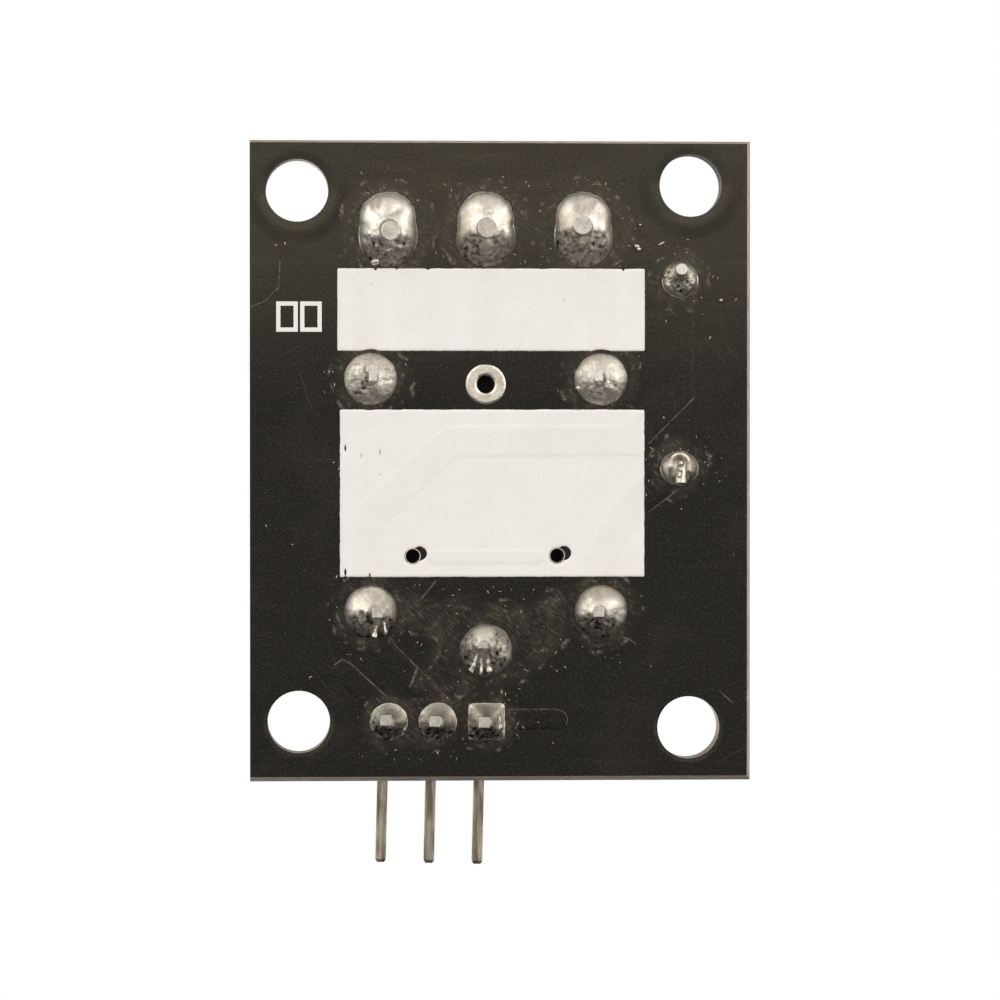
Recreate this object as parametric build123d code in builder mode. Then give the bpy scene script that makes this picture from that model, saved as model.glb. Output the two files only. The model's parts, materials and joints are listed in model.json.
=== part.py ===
"""Single-channel relay module board: relay, screw terminal, pin header, diode and driver parts.

The origin is the centre of the four mounting holes, on the solder side of the board. +Z points out of
the component side, +Y towards the screw terminal and -Y towards the pin header. All sizes are in mm.
"""
from build123d import *
from math import cos, radians, sin
import os

# Board
board_width = 26.1
board_length = 33.35
board_thickness = 1.6
board_centre = (-0.36, -0.24)
mounting_hole_diameter = 3.25
mounting_holes = ((10.24, 13.80), (-10.25, 14.11), (10.16, -13.80), (-10.14, -14.14))
soldered_hole_sides = 8
score_depth = 0.5
score_width_diode_side = 0.2
score_width_header_end = 0.26
score_width_terminal_end = 0.15

# Print on the solder side
ink_thickness = 0.04
upper_ink = (-7.85, 5.48, 8.15, 9.76)
lower_ink = (-7.83, -6.27, 8.02, 2.43)
contact_ink_clearance = 1.54
jumper_hole_diameter = 0.74
jumper_holes = ((4.24, -5.19), (-3.28, -5.17))
jumper_ink_shift = (-0.19, 0.07)
jumper_ink_opening = 1.2
box_size = (1.12, 1.57)
box_line = 0.22
boxes = ((10.76, 7.25), (9.52, 7.25))

# Spare plated ring
spare_pad = (0.44, 3.75)
spare_pad_diameter = 2.09
spare_hole_diameter = 0.95
pad_thickness = 0.06

# Screw terminal
pitch = 5.08
terminal_x = 0.44
terminal_y = 11.86
terminal_hole_diameter = 1.5
terminal_tails = ((5.42, 11.64), (0.43, 11.77), (-4.50, 11.96))
terminal_tail_diameter = 0.98
terminal_back = 8.1
terminal_front = 15.8
terminal_height = 10.0
terminal_slope_low = 6.4
terminal_slope_back = 1.9
terminal_edge = 0.25
rear_edge = (0.7, 0.9)
dovetail_place = 1.5
dovetail_width = 1.6
dovetail_depth = 0.5
dovetail_angle = 115
groove_width = 0.4
groove_depth = 0.5
groove_low = 5.4
entry_funnel = 0.35
chamber_width = 3.8
entry_low = 1.2
entry_high = 4.2
strip_width = 2.0
strip_thickness = 0.5
strip_low = 0.1
strip_plate_low = 3.85
strip_back = 9.3
strip_front = 13.2
strip_bend = 0.5
cage_width = 3.6
cage_depth = 3.4
cage_side = 0.5
cage_low = 0.85
cage_floor = 0.5
cage_roof = 1.0
cage_height = 4.6
cage_corner = 0.3
ledge_low = 7.75
ledge_high = 8.25
screw_diameter = 2.4
screw_head_diameter = 3.8
screw_head_height = 1.3
screw_slot = 0.7
running_gap = 0.05

# Relay
relay_x = 0.43
relay_width = 15.5
relay_length = 19.2
relay_height = 15.5
relay_end = -11.42
relay_wall = 0.7
cover_low = 0.3
cover_corner = 0.9
cover_edge = 0.35
pin_half_span = 6.0
contact_row = 4.02
coil_row = -8.07
common_row = -10.10
relay_hole_diameter = 1.7
contact_tips = ((6.34, 4.18), (-5.33, 4.19))
coil_tips = ((6.11, -8.07), (-5.34, -8.05))
common_tip = (0.68, -9.75)
contact_pin = (0.4, 0.6)
coil_pin = (0.55, 0.5)
common_pin = (0.5, 0.35)
base_low = 0.5
base_high = 2.1
base_foot = 1.1
base_foot_spacing = (11.5, 16.6)
yoke_thickness = 1.2
yoke_width = 8.0
yoke_back = -9.2
yoke_high = 11.3
yoke_foot_reach = 4.6
yoke_bend = 0.8
core_y = -2.6
core_diameter = 3.6
core_head_diameter = 7.0
core_gap = 0.1
bobbin_high = 10.4
flange_size = (10.6, 10.4)
flange_thickness = 0.7
ear_size = (13.6, 1.8)
bobbin_bore_wall = 0.6
winding_diameter = 10.0
armature_thickness = 1.1
armature_tilt = 2.4
armature_reach = 11.6
armature_shoulder = 7.0
armature_taper = 1.2
rivet_place = 3.0
rivet_diameter = 1.6
leaf_width = 4.4
leaf_thickness = 0.15
leaf_bend = 0.4
leaf_back = 0.7
leaf_drop = 3.6
leaf_end = 1.4
contact_arm = 14.6
contact_diameter = 2.0
contact_rise = 0.45
contact_gap = 0.03
button_height = 0.4
blade_thickness = 0.4
blade_width = 2.8
blade_arm_width = 2.2
blade_overhang = 1.2
coil_pin_rise = 1.2
common_plate = (3.0, 0.35, 4.6)

# Pin header
header_pads = (2.94, -13.79)
header_pitch = 2.54
header_hole_diameter = 1.36
header_place = (3.14, -13.68)
header_turn = 1.4
header_pin = 0.55
header_point = 0.16
header_body_depth = 2.5
header_body_back = 0.62
header_reach = 7.75
header_axis = 1.25
header_bend = 0.5
header_point_taper = 30
header_notch = 0.4

# Diode
diode_holes = ((-9.66, 9.26), (-9.66, -0.52))
diode_hole_diameter = 1.0
diode_lead = 0.6
diode_diameter = 2.6
diode_length = 5.0
diode_edge = 0.25
diode_axis = 1.5
diode_bend = 0.6
leaning_foot = ((9.45, 0.0), (9.70, -1.35))
clinched_foot = ((-0.52, -0.75), (-1.42, -0.90))

# Driver parts on the component side
transistor_place = (-3.4, -13.6)
base_resistor_place = (-6.3, -12.9)
lamp_resistor_place = (10.6, -4.2)
lamp_place = (10.6, -8.0)
transistor_size = (2.9, 1.3)
transistor_half_height = 0.5
transistor_drafts = (-5, 7)
leg_spacing = 0.95
leg_width = 0.4
leg_thickness = 0.13
leg_rise = 0.6
leg_reach = (0.6, 0.95, 1.35)
chip_length = 2.0
chip_width = 1.25
resistor_height = 0.5
chip_end = 0.35
chip_clearance = 0.05
chip_fillet = (1.55, 0.5, 0.12)
lamp_base_height = 0.35
lens_height = 0.45
lens_taper = 8

# Solder joints: a round one is its (radius, height) points from foot to crown, the square and long ones
# are a foot of (width, length) and steps of (height, draft angle)
tail = 1.6
relay_joint = ((1.4, 0), (0.66, 1.2))
header_joint = ((0.98, 0), (0.5, 1.25))
diode_joint = ((0.96, 0), (0.5, 1.0))
square_foot = (1.96, 1.96)
square_steps = ((1.25, 21),)
terminal_foot = (3.1, 4.0)
terminal_steps = ((1.1, 35),)

solder_side = Plane.XY
component_side = Plane.XY.offset(board_thickness)
os.makedirs("parts", exist_ok=True)


def save(piece, label):
    piece.part.label = label
    export_step(piece.part, f"parts/{label}.step")


def above(height):
    """Z of a point at this height over the component side."""
    return board_thickness + height


pole_xs = [terminal_x + step * pitch for step in (1, 0, -1)]
header_xs = [header_pads[0] + step * header_pitch for step in (1, 0, -1)]
contact_places = [(relay_x + side * pin_half_span, contact_row) for side in (1, -1)]
coil_places = [(relay_x + side * pin_half_span, coil_row) for side in (1, -1)]
common_place = (relay_x, common_row)
header_places = [(x, header_pads[1]) for x in header_xs]
terminal_places = [(x, terminal_y) for x in pole_xs]

# Circuit board with its scored edges and holes: round where they stay open, and many-sided where a
# joint and the part above it close them
open_holes = (
    (mounting_holes, mounting_hole_diameter),
    (jumper_holes, jumper_hole_diameter),
    ((spare_pad,), spare_hole_diameter),
)
soldered_holes = (
    (terminal_places, terminal_hole_diameter),
    (contact_places + coil_places + [common_place], relay_hole_diameter),
    (header_places, header_hole_diameter),
    (diode_holes, diode_hole_diameter),
)
scored = (
    (Axis.X, 0, score_width_diode_side),
    (Axis.Y, 0, score_width_header_end),
    (Axis.Y, -1, score_width_terminal_end),
)
with BuildPart() as circuit_board:
    with BuildSketch(Plane((*board_centre, 0))):
        Rectangle(board_width, board_length)
    extrude(amount=board_thickness)
    for axis, side, width in scored:
        wall = circuit_board.faces().sort_by(axis)[side]
        rims = wall.edges().filter_by(Plane.XY).group_by(Axis.Z)
        chamfer(rims[0] + rims[-1], length=score_depth, length2=width, reference=wall)
    with BuildSketch(solder_side):
        for places, diameter in open_holes:
            with Locations(*places):
                Circle(diameter / 2)
        for places, diameter in soldered_holes:
            with Locations(*places):
                RegularPolygon(diameter / 2, soldered_hole_sides, major_radius=False)
    extrude(amount=board_thickness, mode=Mode.SUBTRACT)
save(circuit_board, "circuit_board")


def ink_block(name, corners, circles):
    """One printed block between two corners, left open over each circle (x, y, radius)."""
    x0, y0, x1, y1 = corners
    with BuildPart() as block:
        with BuildSketch(Plane(((x0 + x1) / 2, (y0 + y1) / 2, 0))):
            Rectangle(x1 - x0, y1 - y0)
        extrude(amount=-ink_thickness)
        with BuildSketch(solder_side):
            for x, y, radius in circles:
                with Locations((x, y)):
                    Circle(radius)
        extrude(amount=-ink_thickness, mode=Mode.SUBTRACT)
    save(block, name)


shift_x, shift_y = jumper_ink_shift
jumper_circles = [(x + shift_x, y + shift_y, jumper_ink_opening / 2) for x, y in jumper_holes]
ink_block("ink_block_upper", upper_ink, [(x, y, contact_ink_clearance) for x, y in contact_places])
ink_block("ink_block_lower", lower_ink, jumper_circles)

# Two blank boxes in the same ink, beside the upper block
with BuildPart() as inspection_boxes:
    with BuildSketch(solder_side):
        with Locations(*boxes):
            Rectangle(*box_size)
            Rectangle(box_size[0] - 2 * box_line, box_size[1] - 2 * box_line, mode=Mode.SUBTRACT)
    extrude(amount=-ink_thickness)
save(inspection_boxes, "inspection_boxes")

# Plated ring round the spare hole
with BuildPart() as spare_ring:
    with BuildSketch(solder_side):
        with Locations(spare_pad):
            Circle(spare_pad_diameter / 2)
            Circle(spare_hole_diameter / 2, mode=Mode.SUBTRACT)
    extrude(amount=-pad_thickness)
save(spare_ring, "spare_pad")


def pin_section(place, z, section):
    """Face of a round pin (diameter,) or a flat one (width, depth) at one height."""
    with BuildSketch(Plane((*place, z))) as cut:
        if len(section) == 1:
            Circle(section[0] / 2)
        else:
            Rectangle(*section)
    return cut.sketch.face()


def leaning_tail(top, tip, bend, section):
    """Pin that leans from its place at the height `bend` to its cut tip under the board."""
    lean = Vector(*tip, -tail) - Vector(*top, bend)
    with BuildPart() as pin:
        extrude(pin_section(top, bend, section), amount=lean.length, dir=lean)
    return pin.part


# Contact strips of the screw terminal, each with a round solder tail
round_pin = (terminal_tail_diameter,)
strip_low_middle = above(strip_low + strip_thickness / 2)
strip_plate_middle = above(strip_plate_low + strip_thickness / 2)
strip_back_middle = strip_back + strip_thickness / 2
for number, (x, tip) in enumerate(zip(pole_xs, terminal_tails), 1):
    round_tail = leaning_tail((x, terminal_y), tip, strip_low_middle, round_pin)
    with BuildPart() as terminal_pin:
        with BuildSketch(Plane.YZ.offset(x - strip_width / 2)):
            with BuildLine():
                FilletPolyline(
                    (strip_front, strip_plate_middle),
                    (strip_back_middle, strip_plate_middle),
                    (strip_back_middle, strip_low_middle),
                    (strip_front, strip_low_middle),
                    radius=strip_bend,
                )
            trace(line_width=strip_thickness)
        extrude(amount=strip_width)
        add(round_tail)
    save(terminal_pin, f"terminal_pin_{number}")

# Moulded housing of the screw terminal
chamber_floor = cage_low - running_gap
terminal_length = 3 * pitch
chamber_back = terminal_y - chamber_width / 2
with BuildPart() as terminal_housing:
    with BuildSketch(Plane.YZ.offset(terminal_x)):
        with BuildLine():
            Polyline(
                (terminal_back, above(0)),
                (terminal_front, above(0)),
                (terminal_front, above(terminal_slope_low)),
                (terminal_front - terminal_slope_back, above(terminal_height)),
                (terminal_back + rear_edge[0], above(terminal_height)),
                (terminal_back, above(terminal_height - rear_edge[1])),
                close=True,
            )
        make_face()
    extrude(amount=terminal_length / 2, both=True)
    chamfer(terminal_housing.faces().sort_by(Axis.Z)[-1].edges().filter_by(Axis.X), terminal_edge)
    # Dovetail that joins blocks side by side: a tongue on one end and its groove on the other
    for x, mode in ((terminal_x + terminal_length / 2, Mode.ADD),
                    (terminal_x - terminal_length / 2, Mode.SUBTRACT)):
        with BuildSketch(Plane((x, terminal_back + dovetail_place, board_thickness))):
            Trapezoid(dovetail_width, dovetail_depth, dovetail_angle, rotation=-90,
                      align=(Align.CENTER, Align.MIN))
        extrude(amount=terminal_slope_low, mode=mode)
    # Grooves between the poles, down the front and across the top
    slope_top = terminal_front - terminal_slope_back
    for x in (terminal_x - pitch / 2, terminal_x + pitch / 2):
        with BuildSketch(Plane.YZ.offset(x - groove_width / 2)):
            with BuildLine():
                Polyline(
                    (terminal_front, above(groove_low)),
                    (terminal_front, above(terminal_slope_low)),
                    (slope_top, above(terminal_height)),
                    (terminal_back, above(terminal_height)),
                    (terminal_back, above(terminal_height - groove_depth)),
                    (slope_top - groove_depth / 2, above(terminal_height - groove_depth)),
                    (terminal_front - groove_depth, above(terminal_slope_low - groove_depth / 2)),
                    (terminal_front - groove_depth, above(groove_low)),
                    close=True,
                )
            make_face()
        extrude(amount=groove_width, mode=Mode.SUBTRACT)
    for x in pole_xs:
        # Chamber for the wire cage, and the slot below and behind it for the contact strip
        with BuildSketch(Plane((x, terminal_y, above(chamber_floor)))):
            Rectangle(chamber_width, chamber_width)
        extrude(amount=ledge_low - chamber_floor, mode=Mode.SUBTRACT)
        with BuildSketch(Plane((x, strip_back - running_gap, above(0)))):
            Rectangle(strip_width + 2 * running_gap, strip_front - strip_back + 2 * running_gap,
                      align=(Align.CENTER, Align.MIN))
        extrude(amount=chamber_floor, mode=Mode.SUBTRACT)
        with BuildSketch(Plane((x, strip_back - running_gap, above(0)))):
            Rectangle(strip_width + 2 * running_gap, chamber_back - strip_back + running_gap,
                      align=(Align.CENTER, Align.MIN))
        extrude(amount=strip_plate_low + strip_thickness + running_gap, mode=Mode.SUBTRACT)
        # Well for the screw head and the hole in the ledge that holds it
        with BuildSketch(Plane((x, terminal_y, above(ledge_high)))):
            Circle(screw_head_diameter / 2 + 2 * running_gap)
        extrude(amount=terminal_height - ledge_high, mode=Mode.SUBTRACT)
        with BuildSketch(Plane((x, terminal_y, above(ledge_low)))):
            Circle(screw_diameter / 2 + 3 * running_gap)
        extrude(amount=ledge_high - ledge_low, mode=Mode.SUBTRACT)
        # Wire entry with its funnel
        with BuildSketch(Plane.XZ.offset(-terminal_front)):
            with Locations((x, above((entry_low + entry_high) / 2))):
                Rectangle(chamber_width, entry_high - entry_low)
        extrude(amount=terminal_front - terminal_y, mode=Mode.SUBTRACT)
    front = terminal_housing.faces().filter_by(Axis.Y).sort_by(Axis.Y)[-1]
    chamfer([edge for wire in front.inner_wires() for edge in wire.edges()], entry_funnel)
save(terminal_housing, "terminal_housing")

# Rising wire cages and their slotted screws
screw_tip = cage_low + cage_height - cage_roof
for number, x in enumerate(pole_xs, 1):
    with BuildPart() as wire_cage:
        with BuildSketch(Plane.XZ.offset(-terminal_y - cage_depth / 2)):
            with Locations((x, above(cage_low + cage_height / 2))):
                outline = Rectangle(cage_width, cage_height)
            chamfer(outline.vertices(), cage_corner)
            with Locations((x, above(cage_low + cage_floor))):
                Rectangle(cage_width - 2 * cage_side, cage_height - cage_floor - cage_roof,
                          align=(Align.CENTER, Align.MIN), mode=Mode.SUBTRACT)
        extrude(amount=cage_depth)
        with BuildSketch(Plane((x, terminal_y, above(screw_tip)))):
            Circle(screw_diameter / 2 + running_gap)
        extrude(amount=cage_roof, mode=Mode.SUBTRACT)
    save(wire_cage, f"wire_cage_{number}")

    head_low = ledge_high + running_gap
    with BuildPart() as terminal_screw:
        with BuildSketch(Plane((x, terminal_y, above(screw_tip)))):
            Circle(screw_diameter / 2)
        extrude(amount=head_low - screw_tip)
        with BuildSketch(Plane((x, terminal_y, above(head_low)))):
            Circle(screw_head_diameter / 2)
        extrude(amount=screw_head_height)
        with BuildSketch(Plane((x, terminal_y, above(head_low + screw_head_height - screw_slot)))):
            Rectangle(screw_slot, screw_head_diameter, rotation=20 * number)
        extrude(amount=screw_slot, mode=Mode.SUBTRACT)
    save(terminal_screw, f"terminal_screw_{number}")

# Relay cover, a thin box open at its foot
relay_y = relay_end + relay_length / 2
relay_inner = (relay_width - 2 * relay_wall, relay_length - 2 * relay_wall)
with BuildPart() as relay_cover:
    with BuildSketch(Plane((relay_x, relay_y, above(cover_low)))):
        RectangleRounded(relay_width, relay_length, cover_corner)
    extrude(amount=relay_height - cover_low)
    chamfer(relay_cover.faces().sort_by(Axis.Z)[-1].edges(), cover_edge)
    with BuildSketch(Plane((relay_x, relay_y, above(cover_low)))):
        Rectangle(*relay_inner)
    extrude(amount=relay_height - cover_low - relay_wall, mode=Mode.SUBTRACT)
save(relay_cover, "relay_cover")

# Relay base that closes the cover, on four feet, with a hole for each pin
with BuildPart() as relay_base:
    with BuildSketch(Plane((relay_x, relay_y, above(base_low)))):
        Rectangle(*relay_inner)
    extrude(amount=base_high - base_low)
    with BuildSketch(Plane((relay_x, relay_y, above(0)))):
        with GridLocations(*base_foot_spacing, 2, 2):
            Rectangle(base_foot, base_foot)
    extrude(amount=base_low)
    for places, section in ((contact_places, contact_pin), (coil_places, coil_pin),
                            ([common_place], common_pin)):
        with BuildSketch(Plane((0, 0, above(base_low)))):
            with Locations(*places):
                Rectangle(*section)
        extrude(amount=base_high - base_low, mode=Mode.SUBTRACT)
save(relay_base, "relay_base")

# Iron frame: the L-shaped yoke, and the core that stands on its foot
yoke_foot_high = base_high + yoke_thickness
with BuildPart() as yoke:
    with BuildSketch(Plane.YZ.offset(relay_x - yoke_width / 2)):
        with BuildLine():
            Polyline(
                (yoke_back, above(base_high)),
                (core_y + yoke_foot_reach, above(base_high)),
                (core_y + yoke_foot_reach, above(yoke_foot_high)),
                (yoke_back + yoke_thickness, above(yoke_foot_high)),
                (yoke_back + yoke_thickness, above(yoke_high)),
                (yoke_back, above(yoke_high)),
                close=True,
            )
        make_face()
    extrude(amount=yoke_width)
    fillet(yoke.edges().filter_by(Axis.X).sort_by(Axis.Z)[:2].sort_by(Axis.Y)[0], yoke_bend)
save(yoke, "yoke")

with BuildPart() as core:
    with BuildSketch(Plane((relay_x, core_y, above(yoke_foot_high)))):
        Circle(core_diameter / 2)
    extrude(amount=bobbin_high - yoke_foot_high)
    with BuildSketch(Plane((relay_x, core_y, above(bobbin_high)))):
        Circle(core_head_diameter / 2)
    extrude(amount=yoke_high - core_gap - bobbin_high)
save(core, "core")

# Coil: bobbin with its pin ears, and the winding between its flanges
tube_radius = core_diameter / 2 + bobbin_bore_wall
winding_low = yoke_foot_high + flange_thickness
winding_high = bobbin_high - flange_thickness
with BuildPart() as bobbin:
    with BuildSketch(Plane((relay_x, core_y, above(yoke_foot_high)))):
        Rectangle(*flange_size)
        with Locations((0, coil_row - core_y)):
            Rectangle(*ear_size)
        with Locations((0, yoke_back - core_y)):
            Rectangle(yoke_width + 4 * running_gap, 2 * (yoke_thickness + 2 * running_gap),
                      mode=Mode.SUBTRACT)
    extrude(amount=flange_thickness)
    with BuildSketch(Plane((relay_x, core_y, above(winding_low)))):
        Circle(tube_radius)
    extrude(amount=winding_high - winding_low)
    with BuildSketch(Plane((relay_x, core_y, above(winding_high)))):
        Rectangle(*flange_size)
    extrude(amount=flange_thickness)
    with BuildSketch(Plane((relay_x, core_y, above(yoke_foot_high)))):
        Circle(core_diameter / 2)
    extrude(amount=bobbin_high - yoke_foot_high, mode=Mode.SUBTRACT)
    with BuildSketch(Plane((0, 0, above(yoke_foot_high)))):
        with Locations(*coil_places):
            Rectangle(*coil_pin)
    extrude(amount=flange_thickness, mode=Mode.SUBTRACT)
save(bobbin, "bobbin")

with BuildPart() as coil_winding:
    with BuildSketch(Plane((relay_x, core_y, above(winding_low)))):
        Circle(winding_diameter / 2)
        Circle(tube_radius, mode=Mode.SUBTRACT)
    extrude(amount=winding_high - winding_low)
save(coil_winding, "coil_winding")

# Armature, contact leaf and moving contact, tilted up at rest about the yoke's back edge
pivot = (relay_x, yoke_back, above(yoke_high))
tilt = radians(armature_tilt)
leaf_low = running_gap + armature_thickness
leaf_high = leaf_low + leaf_thickness
contact_low = leaf_low - contact_rise
contact_high = leaf_high + contact_rise


def tilted(x=0.0, y=0.0, z=0.0):
    """Plane lying in the tilted armature, at a point given from the pivot."""
    place = (
        pivot[0] + x,
        pivot[1] + y * cos(tilt) - z * sin(tilt),
        pivot[2] + y * sin(tilt) + z * cos(tilt),
    )
    return Plane(place, x_dir=(1, 0, 0), z_dir=(0, -sin(tilt), cos(tilt)))


def tilted_side(x):
    """Plane across the pivot axis at this distance from the middle, y forward and z up in it."""
    place = (pivot[0] + x, pivot[1], pivot[2])
    return Plane(place, x_dir=(0, cos(tilt), sin(tilt)), z_dir=(1, 0, 0))


half_yoke = yoke_width / 2
with BuildPart() as armature:
    with BuildSketch(tilted(z=running_gap)):
        with BuildLine():
            Polyline(
                (-half_yoke, 0),
                (-half_yoke, armature_shoulder),
                (-half_yoke + armature_taper, armature_reach),
                (half_yoke - armature_taper, armature_reach),
                (half_yoke, armature_shoulder),
                (half_yoke, 0),
                close=True,
            )
        make_face()
        with Locations((0, rivet_place)):
            Circle(rivet_diameter / 2, mode=Mode.SUBTRACT)
    extrude(amount=armature_thickness)
save(armature, "armature")

leaf_middle = leaf_low + leaf_thickness / 2
with BuildPart() as contact_leaf:
    with BuildSketch(tilted_side(-leaf_width / 2)):
        with BuildLine():
            FilletPolyline(
                (contact_arm + leaf_end, leaf_middle),
                (-leaf_back, leaf_middle),
                (-leaf_back, -leaf_drop),
                radius=leaf_bend,
            )
        trace(line_width=leaf_thickness)
    extrude(amount=leaf_width)
    # Rivet that holds the leaf in the armature
    with BuildSketch(tilted(z=running_gap)):
        with Locations((0, rivet_place)):
            Circle(rivet_diameter / 2)
    extrude(amount=armature_thickness)
    with BuildSketch(tilted(y=contact_arm, z=leaf_low)):
        Circle(contact_diameter / 2)
    extrude(amount=leaf_thickness, mode=Mode.SUBTRACT)
save(contact_leaf, "contact_leaf")

with BuildPart() as moving_contact:
    with BuildSketch(tilted(y=contact_arm, z=contact_low)):
        Circle(contact_diameter / 2)
    extrude(amount=contact_high - contact_low)
save(moving_contact, "moving_contact")

# Fixed contacts, each a bent blade on its own pin with a button that faces the moving contact
contact_y = yoke_back + contact_arm
tilt_lift = contact_diameter / 2 * sin(tilt)
open_button_top = yoke_high + contact_low - contact_gap
closed_button_low = yoke_high + contact_arm * sin(tilt) + contact_high * cos(tilt) + tilt_lift + contact_gap
open_blade_low = open_button_top - button_height - blade_thickness
closed_blade_low = closed_button_low + button_height
arm_length = pin_half_span + blade_overhang + blade_thickness / 2
fixed_contacts = (
    ("open_contact", 1, open_blade_low, open_button_top - button_height),
    ("closed_contact", -1, closed_blade_low, closed_button_low),
)


def relay_pin(place, tip, section):
    """Pin of the relay from the top of its base down through the board."""
    with BuildPart() as pin:
        add(leaning_tail(place, tip, board_thickness, section))
        extrude(pin_section(place, board_thickness, section), amount=base_high)
    return pin.part


for (name, side, blade_low, button_low), place, tip in zip(fixed_contacts, contact_places, contact_tips):
    pin = relay_pin(place, tip, contact_pin)
    blade_side = Align.MAX if side > 0 else Align.MIN
    with BuildPart() as fixed_contact:
        add(pin)
        with BuildSketch(Plane((place[0], contact_row - contact_pin[1] / 2, above(base_high)))):
            Rectangle(blade_thickness, blade_width, align=(Align.CENTER, Align.MIN))
        extrude(amount=blade_low + blade_thickness - base_high)
        with BuildSketch(Plane((place[0] + side * blade_thickness / 2, contact_y, above(blade_low)))):
            Rectangle(arm_length, blade_arm_width, align=(blade_side, Align.CENTER))
        extrude(amount=blade_thickness)
        with BuildSketch(Plane((relay_x, contact_y, above(button_low)))):
            Circle(contact_diameter / 2)
        extrude(amount=button_height)
    save(fixed_contact, name)

# Coil pins, and the common terminal that rises behind the yoke
for number, (place, tip) in enumerate(zip(coil_places, coil_tips), 1):
    pin = relay_pin(place, tip, coil_pin)
    with BuildPart() as coil_terminal:
        add(pin)
        with BuildSketch(Plane((*place, above(base_high)))):
            Rectangle(*coil_pin)
        extrude(amount=winding_low + coil_pin_rise - base_high)
    save(coil_terminal, f"coil_pin_{number}")

pin = relay_pin(common_place, common_tip, common_pin)
plate_width, plate_depth, plate_height = common_plate
with BuildPart() as common_terminal:
    add(pin)
    with BuildSketch(Plane((relay_x, yoke_back, above(base_high)))):
        Rectangle(common_pin[0], yoke_back - common_row + common_pin[1] / 2,
                  align=(Align.CENTER, Align.MAX))
    extrude(amount=blade_thickness)
    with BuildSketch(Plane((relay_x, yoke_back, above(base_high)))):
        Rectangle(plate_width, plate_depth, align=(Align.CENTER, Align.MAX))
    extrude(amount=plate_height)
save(common_terminal, "common_terminal")

# Pin header, turned a little in its holes: the pins rise, bend and run out past the board's edge
turn = radians(header_turn)
header_frame = Plane((*header_place, board_thickness), x_dir=(cos(turn), sin(turn), 0), z_dir=(0, 0, 1))


def header_side(across):
    """Plane along one pin, at this distance across the row; x runs outwards past the edge, y up."""
    start = header_frame.from_local_coords((across, 0, 0))
    outwards = -header_frame.y_dir
    return Plane(start, x_dir=outwards, z_dir=-header_frame.x_dir)


header_pins = []
for number, step in enumerate((1, 0, -1), 1):
    with BuildPart() as header_pin_part:
        with BuildSketch(header_side(step * header_pitch + header_pin / 2)):
            with BuildLine():
                FilletPolyline(
                    (0, -board_thickness - tail),
                    (0, header_axis),
                    (header_reach - header_point, header_axis),
                    radius=header_bend,
                )
            trace(line_width=header_pin)
        extrude(amount=header_pin)
        extrude(header_pin_part.faces().sort_by(Axis.Y)[0], amount=header_point,
                taper=header_point_taper)
    header_pins.append(header_pin_part)
    save(header_pin_part, f"header_pin_{number}")

with BuildPart() as header_body:
    body_plane = Plane(header_frame.from_local_coords((0, -header_body_back, 0)),
                       x_dir=header_frame.x_dir, z_dir=header_frame.z_dir)
    with BuildSketch(body_plane):
        for step in (-1, 0, 1):
            with Locations((step * header_pitch, -header_body_depth / 2)):
                Rectangle(header_pitch - 2 * header_notch, header_body_depth)
                Rectangle(header_pitch, header_body_depth - 2 * header_notch)
    extrude(amount=2 * header_axis)
    for step in (-1, 0, 1):
        with BuildSketch(header_side(step * header_pitch)):
            with Locations((header_body_back, header_axis)):
                Rectangle(header_body_depth, header_pin, align=(Align.MIN, Align.CENTER))
        extrude(amount=header_pin / 2, both=True, mode=Mode.SUBTRACT)
save(header_body, "header_body")

# Diode lying along the board's edge, with its leads bent down through the board
diode_x = diode_holes[0][0]
diode_middle = (diode_holes[0][1] + diode_holes[1][1]) / 2
axis_z = above(diode_axis)
with BuildPart() as diode_body:
    with BuildSketch(Plane.XZ.offset(-diode_middle - diode_length / 2)):
        with Locations((diode_x, axis_z)):
            Circle(diode_diameter / 2)
    extrude(amount=diode_length)
    chamfer(diode_body.edges().filter_by(GeomType.CIRCLE), diode_edge)
save(diode_body, "diode_body")

diode_leads = []
for number, (hole, side, foot) in enumerate(zip(diode_holes, (1, -1), (leaning_foot, clinched_foot)), 1):
    body_end = diode_middle + side * diode_length / 2
    with BuildPart() as lead:
        with BuildLine(Plane.YZ.offset(diode_x)):
            Polyline(
                (body_end, axis_z),
                (hole[1] - side * diode_bend, axis_z),
                (hole[1], axis_z - diode_bend),
                *foot,
            )
        with BuildSketch(Plane.XZ.offset(-body_end)):
            with Locations((diode_x, axis_z)):
                Circle(diode_lead / 2)
        sweep(transition=Transition.RIGHT)
    diode_leads.append(lead)
    save(lead, f"diode_lead_{number}")

# Transistor with three gull-wing legs
transistor_x, transistor_y = transistor_place
with BuildPart() as transistor_body:
    with BuildSketch(Plane((*transistor_place, above(chip_clearance)))):
        Rectangle(*transistor_size)
    extrude(amount=transistor_half_height, taper=transistor_drafts[0])
    extrude(transistor_body.faces().sort_by(Axis.Z)[-1], amount=transistor_half_height,
            taper=transistor_drafts[1])
save(transistor_body, "transistor_body")

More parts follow.
